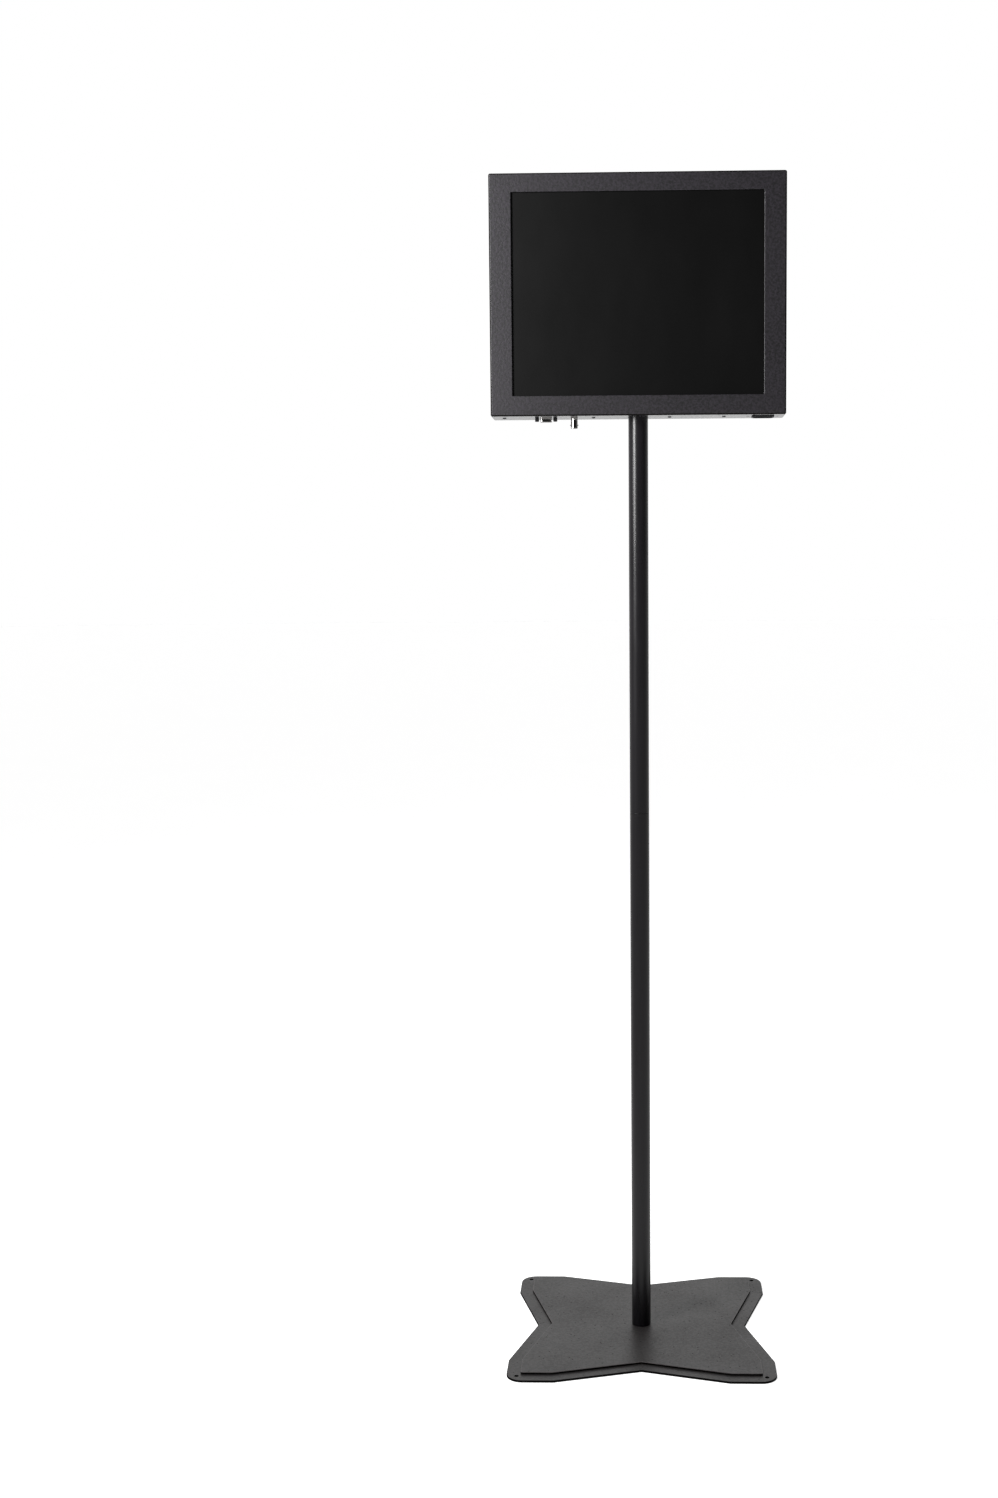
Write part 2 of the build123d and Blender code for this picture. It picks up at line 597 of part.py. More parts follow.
board_spots = [spot for board_x, board_z, blocks in BOARDS.values() for spot in corners(board_x, board_z)]
with BuildPart() as board_standoffs:
    with BuildSketch(across(BOARD_Y)):
        with Locations([(x, level(z)) for x, z in board_spots]):
            RegularPolygon(STANDOFF_FLAT / 2, 6, major_radius=False)
    extrude(amount=-STANDOFF)
save(board_standoffs, "board_standoffs")
with BuildPart() as board_screws:
    with Locations(*[facing_back(x, PCB_BACK, z) for x, z in board_spots]):
        Cylinder(BOARD_HEAD_R, BOARD_HEAD_H, align=(Align.CENTER, Align.CENTER, Align.MIN))
save(board_screws, "board_screws")


# ==== head: connectors on the underside ====


def pin_blocks(heights, mode=Mode.ADD):
    """The inlet's three flat pins, between two heights."""
    for dx, dy in PIN_SPOTS:
        x, y = INLET_X + dx, PORT_Y + dy
        head_block((x - PIN_T / 2, x + PIN_T / 2), (y - PIN_W / 2, y + PIN_W / 2), heights, mode)


with BuildPart() as power_inlet:
    with BuildSketch(Plane.XY.offset(level(-INLET_PROUD))):
        with Locations((INLET_X, PORT_Y)):
            inlet_outline()
    extrude(amount=INLET_H)
    flange_x = (INLET_X - INLET_FLANGE_W / 2, INLET_X + INLET_FLANGE_W / 2)
    flange_y = (PORT_Y - INLET_DEEP / 2, PORT_Y + INLET_DEEP / 2)
    head_block(flange_x, flange_y, (SHEET, SHEET + INLET_FLANGE_T))
    with BuildSketch(Plane.XY.offset(level(-INLET_PROUD))):
        with Locations((INLET_X, PORT_Y)):
            inlet_outline(-INLET_WALL)
    extrude(amount=CAVITY_H, mode=Mode.SUBTRACT)
    for side in (-1, 1):
        with Locations((INLET_X + side * INLET_PITCH / 2, PORT_Y, level(SHEET))):
            Cylinder(M3_R, 4 * INLET_FLANGE_T, mode=Mode.SUBTRACT)
    pin_blocks((0, INLET_H + 4), Mode.SUBTRACT)
save(power_inlet, "power_inlet")

with BuildPart() as inlet_pins:
    pin_blocks((CAVITY_H - PIN_LEN, INLET_H + PIN_TAIL))
save(inlet_pins, "inlet_pins")

inlet_screw = flush_screw(M3_R, SHEET + INLET_FLANGE_T + 2, FLUSH_HEAD_R)
inlet_spots = [facing_down(INLET_X + side * INLET_PITCH / 2, PORT_Y, 0) for side in (-1, 1)]
scatter("inlet_screws", inlet_screw, inlet_spots)

shell_outer = shell_outline()
shell_inner = shell_outline(-SHELL_T)
insert_outline = shell_outline(-SHELL_T - 0.05)

with BuildPart() as service_port_shell:
    flange_x = (SERVICE_X - SHELL_FLANGE_W / 2, SERVICE_X + SHELL_FLANGE_W / 2)
    flange_y = (PORT_Y - SHELL_FLANGE_DEEP / 2, PORT_Y + SHELL_FLANGE_DEEP / 2)
    head_block(flange_x, flange_y, (SHEET, SHEET + 1))
    with BuildSketch(Plane.XY.offset(level(-SHELL_DROP))):
        with Locations((SERVICE_X, PORT_Y)):
            add(shell_outer)
    extrude(amount=SHELL_DROP + SHEET + 1)
    with BuildSketch(Plane.XY.offset(level(-SHELL_DROP))):
        with Locations((SERVICE_X, PORT_Y)):
            add(shell_inner)
    extrude(amount=SHELL_DROP + SHEET + 1, mode=Mode.SUBTRACT)
    for side in (-1, 1):
        with Locations((SERVICE_X + side * JACK_PITCH / 2, PORT_Y, level(SHEET))):
            Cylinder(M3_R + CLEAR, 4, mode=Mode.SUBTRACT)
save(service_port_shell, "service_port_shell")

with BuildPart() as service_port_insert:
    with BuildSketch(Plane.XY.offset(level(INSERT_BACK - SHELL_DROP))):
        with Locations((SERVICE_X, PORT_Y)):
            add(insert_outline)
        for row, count in ((1, 5), (-1, 4)):
            with Locations((SERVICE_X, PORT_Y + row * CONTACT_ROWS / 2)):
                with GridLocations(CONTACT_PITCH, 1, count, 1):
                    Circle(CONTACT_R, mode=Mode.SUBTRACT)
    extrude(amount=INSERT_TOP + SHELL_DROP - INSERT_BACK)
save(service_port_insert, "service_port_insert")

with BuildPart() as jack_screws:
    for side in (-1, 1):
        with BuildSketch(Plane.XY.offset(level(-JACK_DROP))):
            with Locations((SERVICE_X + side * JACK_PITCH / 2, PORT_Y)):
                RegularPolygon(JACK_HEX / 2, 6, major_radius=False)
                Circle(JACK_BORE_R, mode=Mode.SUBTRACT)
        extrude(amount=JACK_DROP)
        with BuildSketch(Plane.XY.offset(level(0))):
            with Locations((SERVICE_X + side * JACK_PITCH / 2, PORT_Y)):
                Circle(M3_R)
                Circle(JACK_BORE_R, mode=Mode.SUBTRACT)
        extrude(amount=SHEET + 4)
save(jack_screws, "jack_screws")

with BuildPart() as antenna_jack:
    with BuildSketch(Plane.XY.offset(level(-ANTENNA_DROP))):
        with Locations((ANTENNA_X, PORT_Y)):
            Circle(ANTENNA_R)
    extrude(amount=ANTENNA_DROP + INSERT_TOP)
    with BuildSketch(Plane.XY.offset(level(SHEET))):
        with Locations((ANTENNA_X, PORT_Y)):
            RegularPolygon(ANTENNA_NUT_R, 6)
    extrude(amount=ANTENNA_NUT_T)
    with Locations(Location((ANTENNA_X, PORT_Y, level(LUG_UP - ANTENNA_DROP)), (0, 90, 0))):
        Cylinder(LUG_R, 2 * LUG_REACH)
    with BuildSketch(Plane.XY.offset(level(-ANTENNA_DROP))):
        with Locations((ANTENNA_X, PORT_Y)):
            Circle(ANTENNA_BORE_R)
    extrude(amount=ANTENNA_DROP - 2, mode=Mode.SUBTRACT)
save(antenna_jack, "antenna_jack")

with BuildPart() as antenna_insulator:
    with BuildSketch(Plane.XY.offset(level(-4))):
        with Locations((ANTENNA_X, PORT_Y)):
            Circle(ANTENNA_BORE_R)
            Circle(CENTRE_R, mode=Mode.SUBTRACT)
    extrude(amount=2)
    with BuildSketch(Plane.XY.offset(level(CONTACT_BACK - ANTENNA_DROP))):
        with Locations((ANTENNA_X, PORT_Y)):
            Circle(SLEEVE_R)
            Circle(CENTRE_R, mode=Mode.SUBTRACT)
    extrude(amount=ANTENNA_DROP - CONTACT_BACK - 4)
save(antenna_insulator, "antenna_insulator")

with BuildPart() as antenna_contact:
    with BuildSketch(Plane.XY.offset(level(CONTACT_BACK + 0.5 - ANTENNA_DROP))):
        with Locations((ANTENNA_X, PORT_Y)):
            Circle(CENTRE_R)
            Circle(CENTRE_R - 0.6, mode=Mode.SUBTRACT)
    extrude(amount=ANTENNA_DROP - CONTACT_BACK - 2.5)
save(antenna_contact, "antenna_contact")

with BuildPart() as port_board:
    head_block(PORT_BOARD_X, (PORT_Y - 7.5, PORT_Y + 8.5), (INSERT_TOP, PORT_TOP))
save(port_board, "port_board")


# ==== head: leads held inside the casing ====

def lead(node, radius, bend, points):
    """A lead along straight runs joined by arcs, from one fitting to another."""
    places = [(x, y, level(z)) for x, y, z in points]
    path = FilletPolyline(*places, radius=bend)
    with BuildPart() as piece:
        with BuildSketch(Plane(origin=path @ 0, z_dir=path % 0)):
            Circle(radius)
        sweep(path=path)
    save(piece, node)


lead("mains_lead", 3.0, 9.0, [(170, -2.5, 30), (170, 4, 44), (170, 5, 58), (157.5, 5, 72)])
lead("supply_lead", 2.5, 12.0, [(70.5, 2, 100), (48, 2, 106), (28, 4, 136), (-24, 4, 136), (-50.5, -1, 130)])
lead("display_lead", 1.8, 12.0, [(62.5, -3.2, 180), (40, 0, 182), (0, 4, 170), (-28, 2, 170), (-50.5, 0, 178)])
lead("touch_lead", 1.4, 12.0, [(80.5, -3.8, 247), (54, 0, 249), (0, 3, 236), (-26, 2, 208), (-50.5, 0, 204)])
lead("service_lead", 2.4, 8.0, [(-126, -2, PORT_TOP), (-125, 3, 34), (-102, 3, 46), (-98, 0, 64.5)])
lead("antenna_lead", 1.5, 8.0, [(-84, -2, PORT_TOP), (-80, 2, 32), (-52, 2, 46), (-45, 0, 64.5)])
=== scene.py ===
"""Touchscreen kiosk: looks for the floor plates, the pole and the screen head."""
import math

import bmesh
import bpy
from bpy.props import FloatProperty, FloatVectorProperty, IntProperty, PointerProperty
from mathutils import Matrix, Vector


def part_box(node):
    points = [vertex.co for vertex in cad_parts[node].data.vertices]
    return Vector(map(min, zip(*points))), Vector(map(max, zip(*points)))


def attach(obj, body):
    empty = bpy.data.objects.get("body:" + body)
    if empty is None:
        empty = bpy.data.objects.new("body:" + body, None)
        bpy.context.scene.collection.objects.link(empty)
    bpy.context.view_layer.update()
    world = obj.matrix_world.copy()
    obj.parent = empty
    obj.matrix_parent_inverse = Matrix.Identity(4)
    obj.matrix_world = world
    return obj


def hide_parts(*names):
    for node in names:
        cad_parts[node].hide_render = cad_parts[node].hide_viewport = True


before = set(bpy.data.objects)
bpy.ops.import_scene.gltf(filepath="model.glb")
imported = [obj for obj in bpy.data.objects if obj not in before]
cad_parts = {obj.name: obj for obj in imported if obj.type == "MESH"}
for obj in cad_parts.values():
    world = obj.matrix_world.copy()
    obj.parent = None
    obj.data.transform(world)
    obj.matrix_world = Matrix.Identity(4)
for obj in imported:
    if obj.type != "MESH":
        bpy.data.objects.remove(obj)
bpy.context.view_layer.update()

bl_info = {
    "name": "Touchscreen Kiosk Dressing",
    "version": (1, 0, 0),
    "blender": (4, 5, 0),
    "location": "3D View > Sidebar > Kiosk",
    "description": "Builds the visible pieces and finishes of a pole-mounted touchscreen kiosk",
    "category": "Object",
}

MM = 0.001

PLATE_LOW, PLATE_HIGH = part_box("base_plate")
TOP_PLATE_LOW, TOP_PLATE_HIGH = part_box("base_top_plate")
LOWER_TUBE_LOW, LOWER_TUBE_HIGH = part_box("lower_tube")
UPPER_TUBE_LOW, UPPER_TUBE_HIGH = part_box("upper_tube")
CASING_LOW, CASING_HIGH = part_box("front_casing")
COVER_LOW, COVER_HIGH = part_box("rear_cover")
GLASS_LOW, GLASS_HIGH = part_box("touch_glass")
SHELL_LOW, SHELL_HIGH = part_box("service_port_shell")
JACKS_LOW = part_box("jack_screws")[0]
INSERT_LOW, INSERT_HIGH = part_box("service_port_insert")
ANTENNA_LOW, ANTENNA_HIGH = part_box("antenna_jack")
INLET_LOW, INLET_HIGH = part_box("power_inlet")
INLET_SCREWS_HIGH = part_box("inlet_screws")[1]

UP = Matrix.Identity(3)
TO_BACK = Matrix(((1, 0, 0), (0, 0, 1), (0, -1, 0)))
TO_FRONT = Matrix(((1, 0, 0), (0, 0, -1), (0, 1, 0)))
TO_SIDE = Matrix(((0, 0, 1), (0, 1, 0), (-1, 0, 0)))
DOWN = Matrix(((1, 0, 0), (0, -1, 0), (0, 0, -1)))
SLIT = 0.05 * MM
SHARP_ANGLE = 30

# Places on the head: x from its middle line and z above its underside.
VENT_FIELDS = [(x * MM, z * MM) for x in (-105, 105) for z in (62, 262)]
ACCESS_HEIGHTS = (40 * MM, 95 * MM)
COVER_SCREWS = [(x * MM, z * MM) for x in (-191, 0, 191) for z in (9, 313)]
COVER_SCREWS += [(x * MM, z * MM) for x in (-191, 191) for z in (110, 212)]
TRAY_FEET = [x * MM for x in (-183, -61, 43, 117)]

# Sizes of the small hardware. A screw's entries are the names that its shape function takes.
COVER_SCREW = {"shank": 1.5 * MM, "head": 2.8 * MM, "tall": 1.7 * MM, "key": 1.1 * MM, "long": 6 * MM}
TRAY_SCREW = {"shank": 1.48 * MM, "head": 2.6 * MM, "tall": 0.9 * MM, "key": 1.1 * MM, "long": 5 * MM}
INLET_SCREW = {"shank": 1.5 * MM, "head": 2.9 * MM, "key": 1.05 * MM, "long": 6.5 * MM}
COVER_SCREW_HOLE = 1.7 * MM
ACCESS_HOLE = 4.5 * MM
CAP_PROFILE = [(radius * MM, height * MM) for radius, height in
               ((3.6, -1.5), (4.4, -1.3), (4.4, -0.1), (6, 0), (6, 0.3), (5.7, 0.8), (4.6, 1.1), (2.4, 1.2))]
JACK_NUT = 6.5 * MM
JACK_NUT_LOW, JACK_NUT_HIGH = 1.5 * MM, 5.5 * MM
PIN_SPOTS = ((-7, -2), (7, -2), (0, 2))
PIN_WIDE, PIN_DEEP = 2 * MM, 4 * MM
PIN_TIP, PIN_END = 2 * MM, 30 * MM
INLET_FLANGE_LOW, INLET_FLANGE_HIGH = 1.5 * MM, 4.5 * MM
FOOT_BOLT_SHANK = 5 * MM
FOOT_BOLT_DEEP = 8 * MM

# Light: how bright each direction of the surroundings is, and the soft box at the left.
WALL_LIGHT = {"From Min": -0.4, "From Max": 0.75, "To Min": 0.04, "To Max": 1.0}
SOFT_BOX_PLACE = (-0.85, -0.75, 1.62)
SOFT_BOX_TARGET = (0, 0, 1.42)
SOFT_BOX_SIZE = (0.35, 0.85)
SOFT_BOX_POWER = 54


# ---- sizes and colours that a user would change ----

def length(name, description, default):
    """A property in metres."""
    return FloatProperty(name=name, description=description, default=default, min=0.0,
                         unit="LENGTH", precision=5)


def colour(name, description, default):
    """A linear colour property."""
    return FloatVectorProperty(name=name, description=description, default=default, size=3,
                               min=0.0, max=1.0, subtype="COLOR")


class PlateSettings(bpy.types.PropertyGroup):
    """Floor plates."""

    corner_radius: length("Corner Radius", "Radius of the lower plate's corners", 22 * MM)
    notch_from_corner: length("Notch Start", "Straight length beside each corner", 64 * MM)
    notch_depth: length("Notch Depth", "Depth of the V in each side", 34 * MM)
    edge: length("Edge Rounding", "Rounding of the cut edges under the coating", 0.8 * MM)
    hole_radius: length("Floor Hole Radius", "Radius of the four floor holes", 2.75 * MM)
    hole_pitch: length("Floor Hole Pitch", "Distance between the floor holes", 336 * MM)


class PoleSettings(bpy.types.PropertyGroup):
    """Pole sections."""

    wall: length("Wall", "Wall thickness of the tube", 2 * MM)
    end_round: length("End Rounding", "Rounding of the tube's ends", 0.6 * MM)
    foot_round: length("Foot Rounding", "Rounding of the tube's foot", 1.2 * MM)
    grub_radius: length("Grub Screw Radius", "Radius of the grub screws in the tube", 2.5 * MM)


class CasingSettings(bpy.types.PropertyGroup):
    """Folded head casing."""

    sheet: length("Sheet", "Thickness of the folded sheet", 1.5 * MM)
    bend: length("Bend Radius", "Outside radius of the folds", 2.5 * MM)
    opening_width: length("Opening Width", "Width of the screen opening", 340 * MM)
    opening_height: length("Opening Height", "Height of the screen opening", 270 * MM)
    opening_edge: length("Opening Edge", "Rounding of the opening's front edge", 0.8 * MM)
    opening_mid: length("Opening Middle", "Height of the opening's middle above the underside", 162 * MM)
    flange: length("Flange", "Width of the lip behind the rear cover", 12 * MM)
    tube_hole: length("Tube Hole", "Radius of the hole that the pole goes through", 14 * MM)
    vent_width: length("Vent Width", "Width of one vent slot", 3.2 * MM)
    vent_length: length("Vent Length", "Length of one vent slot", 40 * MM)
    vent_pitch: length("Vent Pitch", "Distance between vent slots", 7 * MM)
    vent_count: IntProperty(name="Vent Count", description="Slots in one vent field", default=18, min=1)


class PortSettings(bpy.types.PropertyGroup):
    """Connectors along the head's underside."""

    shell_width: length("Shell Width", "Width of the nine-way socket's shell", 17 * MM)
    shell_deep: length("Shell Depth", "Depth of the nine-way socket's shell", 8.4 * MM)
    shell_taper: length("Shell Taper", "How much each side leans in", 1.5 * MM)
    shell_round: length("Shell Corner", "Corner radius of the shell", 2.2 * MM)
    shell_wall: length("Shell Wall", "Thickness of the shell", 0.6 * MM)
    contact_pitch: length("Contact Pitch", "Distance between contacts in a row", 2.77 * MM)
    contact_rows: length("Row Distance", "Distance between the two rows", 2.84 * MM)
    contact_radius: length("Contact Hole", "Radius of a contact hole", 0.55 * MM)
    jack_hex: length("Jack Screw Hexagon", "Width across the jack screw's flats", 4.75 * MM)
    jack_bore: length("Jack Screw Bore", "Radius of the jack screw's thread", 1.2 * MM)
    jack_pitch: length("Jack Screw Pitch", "Distance between the jack screws", 25 * MM)
    antenna_radius: length("Antenna Jack", "Radius of the coaxial jack", 4.8 * MM)
    antenna_bore: length("Antenna Bore", "Bore radius of the coaxial jack", 4.05 * MM)
    lug_radius: length("Lug", "Radius of the two bayonet lugs", 1 * MM)
    lug_reach: length("Lug Reach", "Lug's end from the jack's axis", 5.6 * MM)
    lug_up: length("Lug Height", "Lug's axis above the jack's free end", 4.2 * MM)
    inlet_width: length("Inlet Width", "Width of the mains inlet's nose", 30 * MM)
    inlet_deep: length("Inlet Depth", "Depth of the mains inlet's nose", 20 * MM)
    inlet_cut: length("Inlet Corner", "Size of the two cut corners", 3.5 * MM)
    inlet_wall: length("Inlet Wall", "Wall around the inlet's cavity", 2 * MM)
    inlet_proud: length("Inlet Proud", "How far the nose stands below the casing", 2 * MM)
    inlet_cavity: length("Inlet Cavity", "Depth of the cavity", 18.5 * MM)


class FinishSettings(bpy.types.PropertyGroup):
    """Colours."""

    coat: colour("Powder Coat", "Textured black coating", (0.0014, 0.0012, 0.0016))
    coat_light: colour("Powder Coat Light", "Light grains of the coating", (0.0124, 0.0108, 0.0136))
    plate: colour("Plate Coat", "Coating of the floor plates", (0.0085, 0.0074, 0.0074))
    plate_light: colour("Plate Coat Light", "Light grains on the floor plates", (0.0165, 0.0147, 0.0147))
    steel: colour("Steel", "Bare turned steel", (0.5, 0.5, 0.51))
    nickel: colour("Nickel", "Plated connector shells", (0.34, 0.33, 0.32))
    plastic: colour("Black Plastic", "Moulded parts", (0.012, 0.012, 0.013))
    glass: colour("Glass", "Etched front glass over the dark screen", (0.0009, 0.0009, 0.0009))


class StageSettings(bpy.types.PropertyGroup):
    """Camera, light and floor."""

    eye: FloatVectorProperty(name="Eye", description="Where the camera stands", size=3,
                             default=(0.0006, -2.4675, 1.0526), unit="LENGTH", precision=4)
    pan: FloatProperty(name="Pan", description="Turn to the left", subtype="ANGLE",
                       default=math.radians(1.56))
    tilt: FloatProperty(name="Tilt", description="Look down", subtype="ANGLE",
                        default=math.radians(5.081))
    roll: FloatProperty(name="Roll", description="Camera roll", subtype="ANGLE",
                        default=math.radians(0.342))
    lens: FloatProperty(name="Lens", description="Focal length for a 36 mm long side", default=42.71,
                        unit="CAMERA")
    shift: FloatProperty(name="Shift", description="Sideways lens shift", default=-0.0618)
    floor_glow: FloatProperty(name="Floor Glow", description="Light of the floor itself", default=0.60,
                              min=0.0)
    floor_radius: length("Floor Radius", "Radius of the plain floor", 60.0)


SETTINGS = (
    ("kiosk_plates", PlateSettings),
    ("kiosk_pole", PoleSettings),
    ("kiosk_casing", CasingSettings),
    ("kiosk_ports", PortSettings),
    ("kiosk_finish", FinishSettings),
    ("kiosk_stage", StageSettings),
)


# ---- outlines ----

def rounded_polygon(corners, radii, steps=6):
    """Points around a polygon with an arc at each corner, the same number at every corner."""
    points = []
    if not hasattr(radii, "__len__"):
        radii = [radii] * len(corners)
    for index, (corner, radius) in enumerate(zip(corners, radii)):
        here = Vector(corner)
        before = (Vector(corners[index - 1]) - here).normalized()
        after = (Vector(corners[(index + 1) % len(corners)]) - here).normalized()
        half = before.angle(after) / 2
        centre = here + (before + after).normalized() * radius / math.sin(half)
        start = here + before * radius / math.tan(half) - centre
        end = here + after * radius / math.tan(half) - centre
        swing = start.angle_signed(end)
        for step in range(steps + 1):
            turn = -swing * step / steps
            c, s = math.cos(turn), math.sin(turn)
            points.append(centre + Vector((start.x * c - start.y * s, start.x * s + start.y * c)))
    return points


def rectangle(width, height, radius, steps=6):
    """A rounded rectangle about the middle."""
    w, h = width / 2, height / 2
    return rounded_polygon([(-w, -h), (w, -h), (w, h), (-w, h)], radius, steps)


def circle(radius, count=64):
    """Points of a circle."""
    return [Vector((radius * math.cos(2 * math.pi * i / count), radius * math.sin(2 * math.pi * i / count)))
            for i in range(count)]


def hexagon(radius, count=48):
    """A hexagon of that corner radius with as many points as the circle it is joined to."""
    points = []
    for i in range(count):
        angle = 2 * math.pi * i / count
        within = angle % (math.pi / 3) - math.pi / 6
        reach = radius * math.cos(math.pi / 6) / math.cos(within)
        points.append(Vector((reach * math.cos(angle), reach * math.sin(angle))))
    return points


def star(side, settings, inset):
    """The floor plates' outline: a square with a shallow V in each side, moved in by inset."""
    half = side / 2
    shoulder = half - settings.notch_from_corner
    slope = math.atan2(settings.notch_depth, shoulder)
    corner_edge = half - inset
    shift = inset * math.tan(slope / 2)
    tip = half - settings.notch_depth - inset / math.cos(slope)
    quarter = [(-corner_edge, -corner_edge), (-(shoulder + shift), -corner_edge), (0.0, -tip),
               (shoulder + shift, -corner_edge)]
    corners, radii = [], []
    for turn in range(4):
        c, s = round(math.cos(turn * math.pi / 2)), round(math.sin(turn * math.pi / 2))
        corners += [(x * c - y * s, x * s + y * c) for x, y in quarter]
        radii += [max(settings.corner_radius - inset, 1.5 * MM), 1 * MM, 0.6 * MM, 1 * MM]
    return rounded_polygon(corners, radii, 8)


# ---- meshes ----

def new_object(name, mesh_data):
    """A mesh object in the scene from a finished bmesh."""
    bmesh.ops.recalc_face_normals(mesh_data, faces=mesh_data.faces[:])
    mesh = bpy.data.meshes.new(name)
    mesh_data.to_mesh(mesh)
    mesh_data.free()
    piece = bpy.data.objects.new(name, mesh)
    bpy.context.scene.collection.objects.link(piece)
    return piece


def at(outline, height, origin=(0, 0, 0), turn=UP):
    """An outline as a ring of points at that height along the turned axis."""
    base = Vector(origin)
    return [base + turn @ Vector((point[0], point[1], height)) for point in outline]


def loft(bm, rings, capped=True, looped=False):
    """Skin rings of equal length; the ends are closed, or the last ring joins the first."""
    rows = [[bm.verts.new(point) for point in ring] for ring in rings]
    count = len(rows[0])
    pairs = list(zip(rows, rows[1:])) + ([(rows[-1], rows[0])] if looped else [])
    for low, high in pairs:
        for i in range(count):
            j = (i + 1) % count
            bm.faces.new((low[i], low[j], high[j], high[i]))
    if capped and not looped:
        bm.faces.new(reversed(rows[0]))
        bm.faces.new(rows[-1])


def stack(bm, shape, steps, origin=(0, 0, 0), turn=UP, capped=True, looped=False):
    """Skin a shape that grows or shrinks through (grow, height) steps."""
    loft(bm, [at(shape(grow), height, origin, turn) for grow, height in steps], capped, looped)


def slab_steps(low, high, edge):
    """Steps of a flat piece whose upper and lower edges are rounded."""
    return [(-edge, low), (-0.3 * edge, low + 0.3 * edge), (0, low + edge),
            (0, high - edge), (-0.3 * edge, high - 0.3 * edge), (-edge, high)]


def cutter_steps(low, high, flare_low=0.0, flare_high=0.0):
    """Steps of a cutter whose ends widen, so that the hole's edges come out rounded."""
    steps = [(flare_low + SLIT, low - SLIT)]
    if flare_low:
        steps += [(0.3 * flare_low, low + 0.3 * flare_low), (0, low + flare_low)]
    if flare_high:
        steps += [(0, high - flare_high), (0.3 * flare_high, high - 0.3 * flare_high)]
    return steps + [(flare_high + SLIT, high + SLIT)]


def turned(bm, profile, origin=(0, 0, 0), turn=UP, count=48, capped=True, looped=False):
    """A turned part from (radius, height) steps along its axis."""
    loft(bm, [at(circle(r, count), z, origin, turn) for r, z in profile], capped, looped)


def cut(piece, *cutters):
    """Take the cutters' volumes out of a piece."""
    for cutter in cutters:
        boolean = piece.modifiers.new("cut", "BOOLEAN")
        boolean.object = cutter
        boolean.operation = "DIFFERENCE"
        boolean.solver = "EXACT"
        mesh = bpy.data.meshes.new_from_object(piece.evaluated_get(bpy.context.evaluated_depsgraph_get()))
        piece.modifiers.clear()
        piece.data = mesh
        bpy.data.objects.remove(cutter)
    piece.data.name = piece.name
    return piece


def shade(piece):
    """Smooth shading that keeps real edges and flat faces true."""
    mesh = piece.data
    mesh.polygons.foreach_set("use_smooth", [True] * len(mesh.polygons))
    mesh.set_sharp_from_angle(angle=math.radians(SHARP_ANGLE))
    weighted = piece.modifiers.new("even normals", "WEIGHTED_NORMAL")
    weighted.keep_sharp = True
    weighted.weight = 80


def dress(piece, body, material, nodes=()):
    """Finish a piece, let it ride on its body and hide the CAD nodes it stands for."""
    shade(piece)
    piece.data.materials.clear()
    piece.data.materials.append(material)
    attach(piece, body)
    if nodes:
        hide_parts(*nodes)
    return piece


# ---- materials ----

